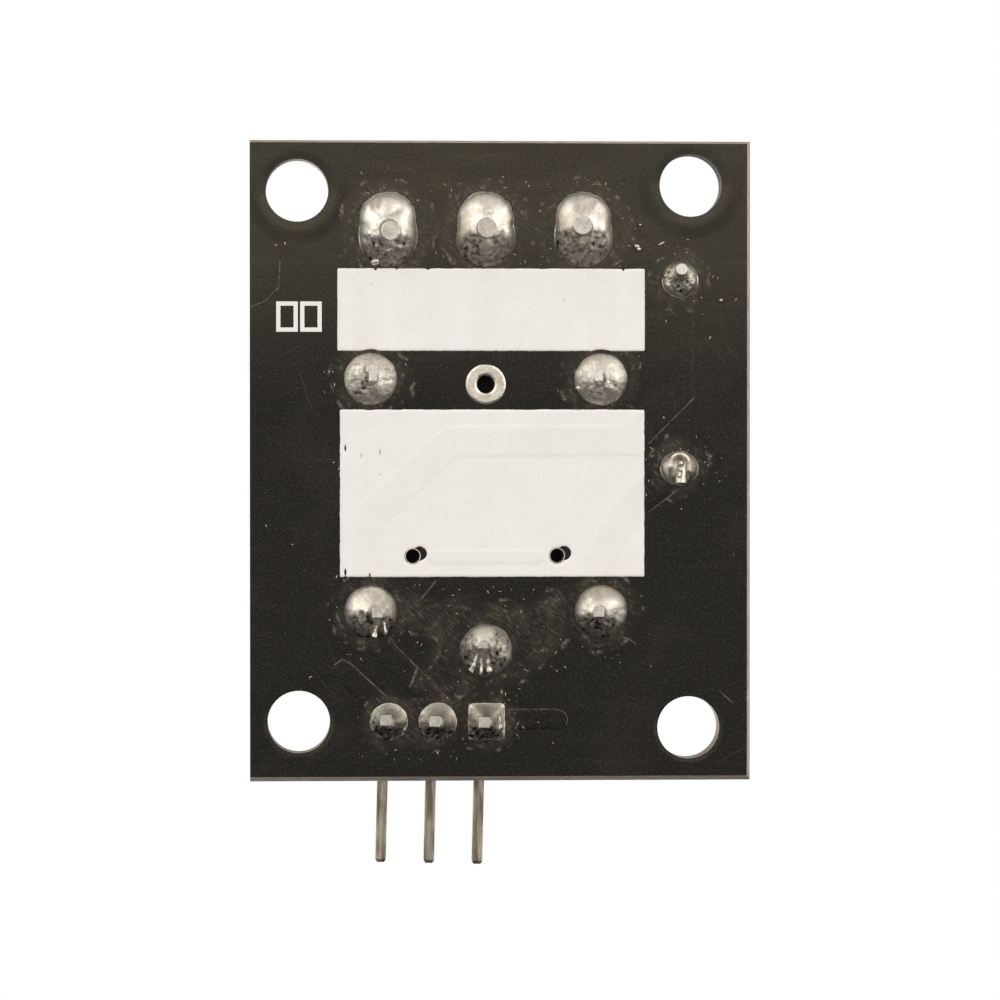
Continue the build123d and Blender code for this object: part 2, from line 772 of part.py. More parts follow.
leg_start, leg_knee, leg_end = leg_reach
with BuildPart() as transistor_legs:
    for across, side in ((-leg_spacing, 1), (leg_spacing, 1), (0, -1)):
        with BuildSketch(Plane.YZ.offset(transistor_x + across - leg_width / 2)):
            with BuildLine():
                Polyline(
                    (transistor_y + side * leg_start, above(leg_rise)),
                    (transistor_y + side * leg_knee, above(leg_rise)),
                    (transistor_y + side * leg_knee, above(leg_thickness)),
                    (transistor_y + side * leg_end, above(leg_thickness)),
                    (transistor_y + side * leg_end, above(0)),
                    (transistor_y + side * (leg_knee - leg_thickness), above(0)),
                    (transistor_y + side * (leg_knee - leg_thickness), above(leg_rise - leg_thickness)),
                    (transistor_y + side * leg_start, above(leg_rise - leg_thickness)),
                    close=True,
                )
            make_face()
        extrude(amount=leg_width)
    add(transistor_body.part, mode=Mode.SUBTRACT)
save(transistor_legs, "transistor_legs")


def chip(name, place, height):
    """Leadless chip lying along Y: its body, and its two end caps with their solder as one node."""
    x, y = place
    half = chip_length / 2
    foot_width, foot_length, foot_height = chip_fillet
    with BuildPart() as body:
        with BuildSketch(Plane((x, y, above(chip_clearance)))):
            Rectangle(chip_width, chip_length - 2 * chip_end)
        extrude(amount=height)
    save(body, name)
    with BuildPart() as ends:
        with BuildSketch(component_side):
            with Locations((x, y + half), (x, y - half)):
                Rectangle(foot_width, foot_length)
        extrude(amount=foot_height)
        with BuildSketch(component_side):
            for side in (1, -1):
                with Locations((x, y + side * (half - chip_end / 2))):
                    Rectangle(chip_width, chip_end)
        extrude(amount=height + chip_clearance)
    save(ends, f"{name}_ends")


chip("base_resistor", base_resistor_place, resistor_height)
chip("lamp_resistor", lamp_resistor_place, resistor_height)
chip("lamp_base", lamp_place, lamp_base_height)
with BuildPart() as lamp_lens:
    with BuildSketch(Plane((*lamp_place, above(lamp_base_height + chip_clearance)))):
        Rectangle(chip_width - chip_clearance, chip_length - 2 * chip_end)
    extrude(amount=lens_height, taper=lens_taper)
save(lamp_lens, "lamp_lens")


# Solder joints on the solder side, each with its pin cut out of it
def crown_shift(place, tip):
    """Half of how far the pin has leaned from its place, so that the joint takes in both."""
    return (place[0] + tip[0]) / 2, (place[1] + tip[1]) / 2


def turned_joint(name, middle, profile, cut):
    """Round joint about an upright axis, its profile given from foot to crown."""
    outline = [(0, 0), *[(radius, -height) for radius, height in profile], (0, -profile[-1][1])]
    with BuildPart() as joint:
        with BuildSketch(Plane((*middle, 0), x_dir=(1, 0, 0), z_dir=(0, -1, 0))):
            with BuildLine():
                Polyline(*outline, close=True)
            make_face()
        revolve(axis=Axis((*middle, 0), (0, 0, 1)))
        add(cut, mode=Mode.SUBTRACT)
    save(joint, name)


def tapered_joint(name, middle, foot, steps, cut):
    """Square joint, or long one with round ends, that narrows in steps from its foot."""
    width, length = foot
    with BuildPart() as joint:
        with BuildSketch(Plane((*middle, 0), x_dir=(1, 0, 0), z_dir=(0, 0, -1))):
            if width == length:
                Rectangle(width, length)
            else:
                SlotOverall(length, width, rotation=90)
        for height, draft in steps:
            lowest = joint.faces().sort_by(Axis.Z)[:1]
            extrude(lowest or None, amount=height, taper=draft)
        add(cut, mode=Mode.SUBTRACT)
    save(joint, name)


for number, (place, tip) in enumerate(zip(terminal_places, terminal_tails), 1):
    tail_part = leaning_tail(place, tip, strip_low_middle, round_pin)
    middle = crown_shift(place, tip)
    tapered_joint(f"terminal_solder_{number}", middle, terminal_foot, terminal_steps, tail_part)
relay_joints = (
    ("contact_solder_1", contact_places[0], contact_tips[0], contact_pin),
    ("contact_solder_2", contact_places[1], contact_tips[1], contact_pin),
    ("coil_solder_1", coil_places[0], coil_tips[0], coil_pin),
    ("coil_solder_2", coil_places[1], coil_tips[1], coil_pin),
    ("common_solder", common_place, common_tip, common_pin),
)
for name, place, tip, section in relay_joints:
    tail_part = leaning_tail(place, tip, board_thickness, section)
    turned_joint(name, crown_shift(place, tip), relay_joint, tail_part)
for number, (place, step, pin) in enumerate(zip(header_places, (1, 0, -1), header_pins), 1):
    leg = header_frame.from_local_coords((step * header_pitch, 0, 0))
    middle = crown_shift(place, (leg.X, leg.Y))
    if step < 0:
        tapered_joint(f"header_solder_{number}", middle, square_foot, square_steps, pin.part)
    else:
        turned_joint(f"header_solder_{number}", middle, header_joint, pin.part)
for number, (place, lead) in enumerate(zip(diode_holes, diode_leads), 1):
    turned_joint(f"diode_solder_{number}", place, diode_joint, lead.part)
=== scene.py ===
"""Looks of the relay module board: solder joints, print, tracks, flux residue and the finish of every part.

Sizes are in millimetres on the board's own axes and turn into metres where a mesh is made. The soldered
side faces -Z, so whatever stands on it rises towards -Z.
"""
import bmesh
import bpy
import json
import math
from mathutils import Matrix, Vector, noise


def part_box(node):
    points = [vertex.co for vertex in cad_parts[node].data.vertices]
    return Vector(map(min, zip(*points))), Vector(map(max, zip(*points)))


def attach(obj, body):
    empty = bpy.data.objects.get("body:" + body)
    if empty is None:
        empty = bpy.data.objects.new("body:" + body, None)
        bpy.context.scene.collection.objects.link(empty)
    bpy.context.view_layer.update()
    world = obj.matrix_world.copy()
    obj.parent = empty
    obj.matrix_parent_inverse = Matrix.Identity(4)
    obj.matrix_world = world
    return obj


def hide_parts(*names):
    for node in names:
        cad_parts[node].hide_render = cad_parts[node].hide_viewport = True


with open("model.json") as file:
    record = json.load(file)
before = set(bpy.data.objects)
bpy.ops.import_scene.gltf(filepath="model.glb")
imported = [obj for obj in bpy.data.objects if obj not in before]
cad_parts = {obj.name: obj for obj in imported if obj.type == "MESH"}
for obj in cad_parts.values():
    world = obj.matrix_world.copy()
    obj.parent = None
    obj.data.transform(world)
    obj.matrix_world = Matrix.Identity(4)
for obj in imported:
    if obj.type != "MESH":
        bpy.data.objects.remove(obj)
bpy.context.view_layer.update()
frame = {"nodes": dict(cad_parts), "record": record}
nodes = frame["nodes"]
slot_of = {part["node"]: part["material_slot"] for part in frame["record"]["subparts"]}

MM = 0.001
BOARD = "board"
board_thickness = 1.6
tail_end = 1.6
board_sides = (-13.41, -16.915, 12.69, 16.435)
mounting_holes = ((10.24, 13.80), (-10.25, 14.11), (10.16, -13.80), (-10.14, -14.14))

# Pads of the joints
terminal_pads = ((5.52, 11.86), (0.44, 11.86), (-4.64, 11.86))
contact_pads = ((6.43, 4.02), (-5.57, 4.02))
coil_pads = ((6.43, -8.07), (-5.57, -8.07))
common_pad = (0.43, -10.10)
relay_pad_radius = 1.38
header_xs, header_y = (5.48, 2.94, 0.40), -13.79
spare_pad = (0.44, 3.75)
spare_ring = (0.475, 1.045)

# Print and copper on the soldered side
ink_rise = 0.04
ink_foot = 0.012
upper_ink = (-7.85, 5.48, 8.15, 9.76)
lower_ink = (-7.83, -6.27, 8.02, 2.43)
contact_ink_clearance = 1.54
jumper_holes = ((4.24, -5.19), (-3.28, -5.17))
jumper_hole_radius = 0.37
jumper_ink_radius = 0.42
jumper_ink_shift = (-0.36, 0.14)
track_rise = 0.018
track_slope = 0.16


# Shader wiring

def paint(red, green, blue):
    """A colour picked as it looks on screen, as the linear values that shaders use."""
    return tuple((c / 255 / 12.92) if c / 255 <= 0.04045 else ((c / 255 + 0.055) / 1.055) ** 2.4
                 for c in (red, green, blue)) + (1.0,)


class Wiring:
    """A node tree being wired, with short calls for the nodes that the finishes share."""

    def __init__(self, tree):
        self.tree = tree

    def feed(self, socket, value):
        if isinstance(value, bpy.types.NodeSocket):
            self.tree.links.new(value, socket)
        else:
            socket.default_value = value

    def add(self, kind, settings=None, **inputs):
        """A new node with its settings and its named inputs, where _ stands for a space."""
        node = self.tree.nodes.new(kind)
        for name, value in (settings or {}).items():
            setattr(node, name, value)
        for name, value in inputs.items():
            self.feed(node.inputs[name.replace("_", " ")], value)
        return node

    def math(self, operation, *values, kind="ShaderNodeMath", output=0):
        node = self.add(kind, {"operation": operation})
        for socket, value in zip(node.inputs, values):
            self.feed(socket, value)
        return node.outputs[output]

    def dot(self, first, second):
        return self.math("DOT_PRODUCT", first, second, kind="ShaderNodeVectorMath", output="Value")

    def times(self, product, *others):
        for value in others:
            product = self.math("MULTIPLY", product, value)
        return product

    def plus(self, total, *others):
        for value in others:
            total = self.math("ADD", total, value)
        return total

    def blend(self, share, first, second):
        """Two colours mixed by a share, each of them a socket or three numbers as they look on screen."""
        node = self.add("ShaderNodeMix", {"data_type": "RGBA"})
        for index, value in ((0, share), (6, first), (7, second)):
            self.feed(node.inputs[index], paint(*value) if isinstance(value, tuple) else value)
        return node.outputs[2]

    def spread(self, value, low, high, bottom=0.0, top=1.0):
        """The value taken from low..high to bottom..top, with soft ends."""
        node = self.add("ShaderNodeMapRange", {"interpolation_type": "SMOOTHSTEP"}, Value=value,
                        From_Min=low, From_Max=high, To_Min=bottom, To_Max=top)
        return node.outputs["Result"]

    def band(self, gap, start, full, fading, end):
        """1 where the gap is between full and fading, and 0 before the start and past the end, in millimetres."""
        return self.times(self.spread(gap, start * MM, full * MM), self.spread(gap, end * MM, fading * MM))

    def split(self, place):
        return self.add("ShaderNodeSeparateXYZ", Vector=place).outputs

    def attribute(self, name):
        return self.add("ShaderNodeAttribute", {"attribute_name": name}).outputs["Fac"]

    def stretched(self, place, along):
        """Coordinates scaled on each axis, so that a pattern runs longer one way."""
        return self.add("ShaderNodeMapping", Vector=place, Scale=along).outputs[0]

    def texture(self, place, scale, detail, **more):
        return self.add("ShaderNodeTexNoise", Vector=place, Scale=scale, Detail=detail, **more).outputs

    def clouds(self, place, size_mm, detail=3.0, roughness=0.5):
        return self.texture(place, 1000 / size_mm, detail, Roughness=roughness)["Fac"]

    def bump(self, height, distance_mm, strength, normal=None):
        node = self.add("ShaderNodeBump", Strength=strength, Distance=distance_mm * MM, Height=height)
        if normal is not None:
            self.feed(node.inputs["Normal"], normal)
        return node.outputs[0]

    def group(self, tree, **inputs):
        return self.add("ShaderNodeGroup", {"node_tree": tree}, **inputs).outputs


class Finish(Wiring):
    """A material being made round one Principled shader. Its tone is built up in layers."""

    def __init__(self, name, **plain):
        self.material = bpy.data.materials.new(name)
        self.material.use_nodes = True
        super().__init__(self.material.node_tree)
        self.tree.nodes.clear()
        self.output = self.add("ShaderNodeOutputMaterial")
        self.shader = self.add("ShaderNodeBsdfPrincipled", **plain)
        self.feed(self.output.inputs["Surface"], self.shader.outputs[0])
        self.place = self.add("ShaderNodeTexCoord").outputs["Object"]
        self.tone = None

    def use(self, tree, **inputs):
        """A shared group at the piece's own coordinates."""
        return self.group(tree, Place=self.place, **inputs)

    def patches(self, size_mm, low, high, detail=3.0, roughness=0.5, along=None):
        """Soft patches of about that size, pulled longer one way where along is given."""
        place = self.stretched(self.place, along) if along else self.place
        return self.spread(self.clouds(place, size_mm, detail, roughness), low, high)

    def over(self, colour, *shares):
        """Lays a colour over the tone, with the product of the shares as its strength."""
        self.tone = self.blend(self.times(*shares), self.tone, colour)

    def dress(self, **inputs):
        """Hands the tone and the named inputs to the shader."""
        for name, value in {"Base_Color": self.tone, **inputs}.items():
            self.feed(self.shader.inputs[name.replace("_", " ")], value)
        return self.material


def new_group(name, inputs, outputs):
    """An empty shader group: its Place and Normal sockets are vectors, the others numbers."""
    tree = bpy.data.node_groups.new(name, "ShaderNodeTree")
    for way, labels in (("INPUT", inputs), ("OUTPUT", outputs)):
        for label in labels:
            kind = "NodeSocketVector" if label in ("Place", "Normal") else "NodeSocketFloat"
            tree.interface.new_socket(label, in_out=way, socket_type=kind)
    wiring = Wiring(tree)
    return wiring, wiring.add("NodeGroupInput").outputs, wiring.add("NodeGroupOutput").inputs


def grain_group():
    """Fine grain of two sizes: a mask for colour and a height for bump."""
    g, given, out = new_group("fine_grain", ("Place", "Coarse", "Fine", "Share"), ("Mask", "Height"))
    coarse = g.texture(given["Place"], given["Coarse"], 3.0)["Fac"]
    fine = g.texture(given["Place"], given["Fine"], 2.0)["Fac"]
    mixed = g.plus(g.times(coarse, g.math("SUBTRACT", 1.0, given["Share"])), g.times(fine, given["Share"]))
    g.feed(out["Mask"], g.spread(mixed, 0.36, 0.64))
    g.feed(out["Height"], mixed)
    return g.tree


def wear_group():
    """Marks of handling: soft smudges and thin scratches."""
    g, given, out = new_group("handling", ("Place", "Patch", "Length", "Amount"), ("Smudge", "Scratch"))
    patch = g.texture(given["Place"], given["Patch"], 4.0, Roughness=0.6, Distortion=0.6)["Fac"]
    g.feed(out["Smudge"], g.times(g.spread(patch, 0.48, 0.72), given["Amount"]))
    scratches = 0.0
    for turn, stretch in ((0.5, 40.0), (-0.9, 55.0), (1.9, 35.0)):
        turned = g.add("ShaderNodeMapping", Vector=given["Place"], Rotation=(0, 0, turn)).outputs[0]
        line = g.texture(g.stretched(turned, (1, stretch, 1)), given["Length"], 1.0)["Fac"]
        scratches = g.math("MAXIMUM", scratches, g.spread(line, 0.745, 0.80))
    g.feed(out["Scratch"], g.times(scratches, given["Amount"]))
    return g.tree


def soft_edge_group():
    """Normal with its edges rounded by a given radius, and a mask of where those edges are."""
    g, given, out = new_group("soft_edges", ("Radius",), ("Normal", "Edge"))
    rounded = g.add("ShaderNodeBevel", {"samples": 4}, Radius=given["Radius"]).outputs[0]
    sharp = g.add("ShaderNodeNewGeometry").outputs["Normal"]
    g.feed(out["Normal"], rounded)
    g.feed(out["Edge"], g.spread(g.dot(rounded, sharp), 0.995, 0.86))
    return g.tree


def wiped_group():
    """Fine curved streaks, as a brush of flux or a wiping cloth leaves them."""
    g, given, out = new_group("wiped", ("Place", "Fineness", "Turn"), ("Streak", "Shade"))
    drift = (0.0011, 0.0011, 0.0)
    slow = g.texture(given["Place"], 330.0, 2.0)["Color"]
    moved = g.math("MULTIPLY_ADD", slow, drift, given["Place"], kind="ShaderNodeVectorMath")
    spin = g.add("ShaderNodeCombineXYZ", Z=given["Turn"]).outputs[0]
    turned = g.add("ShaderNodeMapping", Vector=moved, Rotation=spin).outputs[0]
    line = g.texture(g.stretched(turned, (0.24, 1, 1)), given["Fineness"], 2.0, Roughness=0.6)["Fac"]
    g.feed(out["Streak"], g.spread(line, 0.55, 0.72))
    g.feed(out["Shade"], g.spread(line, 0.5, 0.3))
    return g.tree


grain = grain_group()
handling = wear_group()
soft_edges = soft_edge_group()
wiped = wiped_group()


# Finishes

warm_gloss = (1.0, 0.93, 0.82, 1.0)
cut_edge_roughness = 0.72


def mask_tone_and_painted_sheen(f):
    """How far up the board a place lies, and the clean mask's tone, paler there as a painted reflection of light."""
    high = f.spread(f.split(f.place)["Y"], 0.002, 0.0125)
    return high, f.blend(high, (10, 9, 6), (54, 49, 38))


def painted_hole_shading(f, split):
    """Painted shade and painted light: dark and light arcs on the mask round the mounting holes, where it swells at
    their edges.
    """
    dark, light = 0.0, 0.0
    for hole_x, hole_y in mounting_holes:
        across = f.math("SUBTRACT", split["X"], hole_x * MM)
        up = f.math("SUBTRACT", split["Y"], hole_y * MM)
        gap = f.math("SQRT", f.plus(f.times(across, across), f.times(up, up)))
        above = f.spread(f.math("DIVIDE", up, gap), -0.35, 0.6)
        below = f.math("SUBTRACT", 1.0, above)
        if hole_y > 0:
            near, far = f.band(gap, 1.55, 1.72, 1.80, 2.25), f.band(gap, 1.95, 2.40, 2.50, 3.00)
            dark = f.plus(dark, f.plus(f.times(near, above), f.times(far, below)))
        else:
            near = f.band(gap, 1.64, 1.72, 1.74, 1.90)
        light = f.plus(light, f.times(near, below))
    return dark, light


def mask_finish():
    """Satin black mask on both faces, with glass-epoxy showing on the cut sides and in the holes."""
    f = Finish("black_solder_mask", IOR=1.37, Specular_Tint=warm_gloss)
    split = f.split(f.place)
    from_middle = f.math("ABSOLUTE", f.math("SUBTRACT", split["Z"], board_thickness / 2 * MM))
    is_mask = f.math("GREATER_THAN", from_middle, (board_thickness / 2 - 0.012) * MM)
    marks = f.use(handling, Patch=170.0, Length=110.0, Amount=0.6)
    wipe = f.use(wiped, Fineness=9000.0, Turn=-0.6)
    grit = f.clouds(f.place, 0.12, 2.0, 0.7)
    f.tone = f.blend(f.patches(0.8, 0.35, 0.65, 3.0, 0.7, along=(1, 1, 9)), (134, 120, 102), (180, 167, 148))
    f.over((94, 83, 70), f.patches(0.09, 0.52, 0.7, 2.0), 0.5)
    f.over((112, 100, 82), f.spread(split["Y"], -0.0165, -0.0168), 0.08)
    glass = f.tone
    # Paler up the board as a painted reflection of light; the streaks follow it and show more there
    high, f.tone = mask_tone_and_painted_sheen(f)
    streak = f.times(f.patches(0.9, 0.45, 0.75, 4.0, 0.65, along=(0.16, 1, 1)), f.plus(0.2, high))
    f.over((74, 68, 55), streak, 0.35)
    f.over((84, 77, 62), wipe["Streak"], 0.12)
    f.over((64, 59, 48), marks["Smudge"], 0.2)
    f.over((112, 104, 90), marks["Scratch"], 0.28)
    f.over((98, 91, 75), f.spread(grit, 0.5, 0.75, 0.0, 0.3))
    f.over((8, 7, 5), f.spread(grit, 0.5, 0.3, 0.0, 0.45))
    # Painted shade and painted light in arcs round the mounting holes, broken up by clouds
    dark, light = painted_hole_shading(f, split)
    uneven = f.spread(f.clouds(f.place, 1.6), 0.3, 0.6, 0.35, 1.0)
    f.over((92, 85, 72), light, uneven, 0.35)
    f.over((22, 20, 16), dark, uneven, 0.62)
    f.tone = f.blend(is_mask, glass, f.tone)
    rough = f.plus(0.30, f.times(marks["Smudge"], 0.3), f.times(streak, 0.12))
    rough = f.plus(f.times(is_mask, f.math("SUBTRACT", rough, cut_edge_roughness)), cut_edge_roughness)
    peel = f.plus(f.clouds(f.place, 0.5), f.times(marks["Scratch"], -0.4), f.times(grit, 0.25))
    return f.dress(Roughness=rough, Normal=f.bump(peel, 0.010, 0.6))


def ink_finish():
    """Matt white print with a faint speckle, a shade darker where it climbs over copper."""
    f = Finish("white_print", IOR=1.45)
    speckle = f.use(grain, Coarse=420.0, Fine=5200.0, Share=0.55)
    marks = f.use(handling, Patch=300.0, Length=140.0, Amount=0.5)
    f.tone = f.blend(f.times(speckle["Mask"], 0.5), (251, 247, 241), (241, 236, 229))
    f.over((228, 222, 212), f.attribute("over_copper"), 0.1)
    f.over((214, 206, 192), marks["Smudge"], 0.14)
    return f.dress(Roughness=f.plus(0.5, f.times(speckle["Mask"], 0.15)), Normal=f.bump(speckle["Height"], 0.006, 0.5))


def solder_finish():
    """Bright tin solder: crystalline grain, dull patches, brown residue at its foot, and dark brown where the residue
    mark puts it, partly residue and partly painted shade.
    """
    f = Finish("bright_solder", Metallic=1.0)
    rim, brown = f.attribute("rim"), f.attribute("residue")
    crystal = f.use(grain, Coarse=1700.0, Fine=11000.0, Share=0.6)
    dull = f.patches(1.1, 0.42, 0.66, 4.0, 0.62)
    stain = f.patches(0.42, 0.5, 0.68, 4.0, 0.7)
    crust = f.patches(0.16, 0.38, 0.6, 4.0, 0.7)
    f.tone = f.blend(dull, (238, 230, 217), (214, 203, 186))
    f.over((184, 173, 156), crystal["Mask"], 0.45)
    foot = f.times(stain, f.spread(rim, 0.72, 1.0), 0.6)
    broken = f.times(brown, f.plus(0.66, f.times(f.plus(stain, crust), 0.34)))
    residue_and_painted_shade = f.math("MINIMUM", f.math("MAXIMUM", foot, broken), 1.0)
    # Dark brown: residue at the foot, and painted shade with residue where the residue mark lies
    f.over((34, 30, 24), residue_and_painted_shade)
    rough = f.plus(0.31, f.times(dull, 0.13), f.times(crystal["Mask"], 0.08), f.times(residue_and_painted_shade, 0.25))
    relief = f.plus(crystal["Height"], f.times(crust, brown, 1.6))
    return f.dress(Roughness=rough, Normal=f.bump(relief, 0.02, 0.7))


def metal_finish(name, bright, dark, rough, coarse=900.0, edge=0.06, lengthwise=None, tinned_below=None,
                 dull_past=None):
    """Plated or bare metal with grain, handling marks and lighter rubbed edges.

    It is tinned below a height, or duller past a place along the board, where those are given.
    """
    f = Finish(name, Metallic=1.0)
    place = f.stretched(f.place, lengthwise) if lengthwise else f.place
    body = f.group(grain, Place=place, Coarse=coarse, Fine=7000.0, Share=0.5)
    marks = f.use(handling, Patch=700.0, Length=400.0, Amount=0.7)
    edges = f.group(soft_edges, Radius=edge * MM)
    f.tone = f.blend(body["Mask"], bright, dark)
    f.over(dark, marks["Smudge"], 0.5)
    if tinned_below is not None:
        low = f.math("LESS_THAN", f.split(f.place)["Z"], tinned_below * MM)
        f.over(f.blend(body["Mask"], (255, 252, 244), (214, 204, 190)), low)
    if dull_past is not None:
        past = f.math("LESS_THAN", f.split(f.place)["Y"], dull_past * MM)
        streak = f.patches(0.3, 0.35, 0.65, along=(1, 0.12, 1))
        f.over(f.blend(streak, (206, 191, 170), (130, 118, 101)), past)
    f.over((240, 236, 228), edges["Edge"], 0.5)
    return f.dress(Roughness=f.plus(rough, f.times(body["Mask"], 0.14), f.times(marks["Smudge"], 0.2)),
                   Normal=f.bump(body["Height"], 0.008, 0.6, edges["Normal"]))


def moulded_finish(name, colour, worn, rough, relief=0.012):
    """Moulded plastic: fine spark texture, faint flow clouds and edges a little lighter."""
    f = Finish(name)
    skin = f.use(grain, Coarse=1000 / 0.12, Fine=9000.0, Share=0.4)
    marks = f.use(handling, Patch=180.0, Length=160.0, Amount=0.6)
    edges = f.group(soft_edges, Radius=0.12 * MM)
    f.tone = colour
    f.over(worn, f.patches(9.0, 0.35, 0.7), 0.1)
    f.over(worn, marks["Scratch"], 0.35)
    f.over(worn, edges["Edge"], 0.35)
    return f.dress(Roughness=f.plus(rough, f.times(marks["Smudge"], 0.1), f.times(skin["Mask"], 0.06)),
                   Normal=f.bump(skin["Height"], relief, 0.5, edges["Normal"]))


def winding_finish():
    """Enamelled wire laid round the bobbin in close turns."""
    f = Finish("enamelled_wire", Metallic=1.0)
    turns = f.add("ShaderNodeTexWave", {"wave_type": "BANDS", "bands_direction": "Z"}, Vector=f.place,
                  Scale=3200.0, Distortion=0.25, Detail=2.0).outputs["Fac"]
    f.tone = f.blend(turns, (96, 40, 20), (214, 116, 66))
    return f.dress(Roughness=0.3, Coat_Weight=0.4, Normal=f.bump(turns, 0.05, 0.8))


def residue_finish():
    """Dried flux: a thin glossy brown-black skin with pits, streaks and pale margins."""
    f = Finish("flux_residue", IOR=1.4, Specular_Tint=warm_gloss)
    high, clean = mask_tone_and_painted_sheen(f)
    pits = f.patches(0.35, 0.52, 0.72, 5.0, 0.7)
    swirl = f.clouds(f.stretched(f.place, (1.0, 0.5, 1.0)), 1.2, 4.0, 0.6)
    wipe = f.use(wiped, Fineness=9500.0, Turn=-0.75)
    depth, margin = f.attribute("depth"), f.attribute("margin")
    f.tone = f.blend(f.spread(swirl, 0.4, 0.7), (32, 29, 22), (60, 55, 45))
    # The flux, too, is paler up the board as a painted reflection of light
    f.over((68, 63, 53), high, 0.8)
    f.over((104, 96, 80), wipe["Streak"], 0.75)
    f.over((12, 11, 8), wipe["Shade"], 0.7)
    f.over((84, 77, 64), pits, 0.15)
    f.over((150, 140, 122), margin, f.patches(0.2, 0.4, 0.62, 4.0, 0.7))
    broken = f.times(depth, f.plus(0.55, f.times(f.spread(swirl, 0.35, 0.65), 0.6)))
    f.tone = f.blend(f.math("MINIMUM", f.math("MAXIMUM", broken, margin), 1.0), clean, f.tone)
    return f.dress(Roughness=f.plus(0.34, f.times(pits, 0.2)), Normal=f.bump(f.plus(swirl, pits), 0.012, 0.3))


def scuff_and_glint_finish():
    """Mask rubbed pale along a scratch, and pale along a raised track edge as a painted highlight."""
    f = Finish("scuffed_and_glinting_mask", IOR=1.45)
    worn = f.patches(0.4, 0.35, 0.65, 4.0, 0.7)
    f.tone = f.blend(worn, (46, 42, 33), (104, 96, 80))
    return f.dress(Roughness=f.plus(0.35, f.times(worn, 0.2)))


def lens_finish():
    """Clear red resin."""
    f = Finish("red_lens", IOR=1.5, Transmission_Weight=0.35)
    f.tone = f.blend(f.patches(0.5, 0.3, 0.7, 2.0), (206, 38, 32), (170, 22, 20))
    return f.dress(Roughness=0.14, Normal=f.group(soft_edges, Radius=0.08 * MM)["Normal"])


finishes = {
    "solder_mask": mask_finish(),
    "print_ink": ink_finish(),
    "solder": solder_finish(),
    "tinned_pins": metal_finish("tinned_pins", (243, 236, 225), (192, 182, 167), 0.24, lengthwise=(2.0, 2.0, 0.4),
                                dull_past=-16.2),
    "relay_plastic": moulded_finish("relay_blue", (20, 92, 176), (70, 136, 208), 0.42),
    "relay_base_plastic": moulded_finish("relay_black", (30, 30, 32), (74, 74, 76), 0.5),
    "relay_iron": metal_finish("relay_iron", (200, 198, 192), (148, 146, 140), 0.28, coarse=500.0),
    "coil_copper": winding_finish(),
    "contact_bronze": metal_finish("contact_bronze", (226, 184, 112), (178, 132, 74), 0.25, tinned_below=2.2),
    "contact_silver": metal_finish("contact_silver", (236, 235, 232), (196, 194, 190), 0.2),
    "terminal_plastic": moulded_finish("terminal_blue", (24, 104, 190), (84, 150, 216), 0.26, relief=0.006),
    "zinc_screws": metal_finish("zinc_plate", (214, 215, 216), (154, 156, 158), 0.24, edge=0.1),
    "black_plastic": moulded_finish("black_moulding", (30, 30, 31), (78, 77, 76), 0.48),
    "lamp_white": moulded_finish("lamp_white", (226, 224, 218), (240, 238, 234), 0.4),
    "lamp_lens": lens_finish(),
}
residue = residue_finish()
scuff_and_glint = scuff_and_glint_finish()
banded = moulded_finish("pale_band", (196, 194, 188), (222, 220, 214), 0.38)

for name, piece in nodes.items():
    for held in piece.material_slots:
        held.material = finishes[slot_of[name]]


# Shapes

def mottle(x, y, size, seed=0.0):
    """Smooth noise from about -1 to 1 that changes over the given size."""
    return noise.noise(Vector((x / size, y / size, seed)))


def ease(value):
    """The value held between 0 and 1, with soft ends."""
    value = min(1.0, max(0.0, value))
    return value * value * (3 - 2 * value)


def around(x, y, reach):
    """The box round a place."""
    return x - reach, y - reach, x + reach, y + reach


def grown(box, margin):
    return box[0] - margin, box[1] - margin, box[2] + margin, box[3] + margin


def gap_to(x, y, lines):
    """How far a place is from the nearest of some lines, each given by its two ends."""
    nearest = 1e9
    for (ax, ay), (bx, by) in lines:
        dx, dy = bx - ax, by - ay
        share = min(1.0, max(0.0, ((x - ax) * dx + (y - ay) * dy) / (dx * dx + dy * dy)))
        nearest = min(nearest, math.hypot(x - ax - dx * share, y - ay - dy * share))
    return nearest


# The next functions say how far inside a form a place is, and are below zero outside it

def inside_box(x, y, box):
    return min(x - box[0], box[2] - x, y - box[1], box[3] - y)


def inside_circle(x, y, middle, radius):
    return radius - math.hypot(x - middle[0], y - middle[1])


def inside_ring(x, y, middle, inner, half):
    """For a flat ring with that inner radius and half width."""
    return half - abs(math.hypot(x - middle[0], y - middle[1]) - inner - half)


def inside_run(x, y, points, width):
    """For a round-ended strip of that width along the points."""
    return width / 2 - gap_to(x, y, zip(points, points[1:]))


def inside_corners(x, y, corners):
    """For a closed outline."""
    sides = list(zip(corners, corners[1:] + corners[:1]))
    within = False
    for (ax, ay), (bx, by) in sides:
        if (ay > y) != (by > y) and x < (bx - ax) * (y - ay) / (by - ay) + ax:
            within = not within
    nearest = gap_to(x, y, sides)
    return nearest if within else -nearest


def oval(across, up, shape):
    """How far out a place is in an oval, where 1 is its edge."""
    return math.hypot((across - shape[0]) / shape[2], (up - shape[1]) / shape[3])


def new_object(name, data):
    piece = bpy.data.objects.new(name, data)
    bpy.context.scene.collection.objects.link(piece)
    return piece


def new_mesh(name, points, faces):
    """A mesh from points in millimetres."""
    mesh = bpy.data.meshes.new(name)
    mesh.from_pydata([(x * MM, y * MM, z * MM) for x, y, z in points], [], faces)
    return mesh


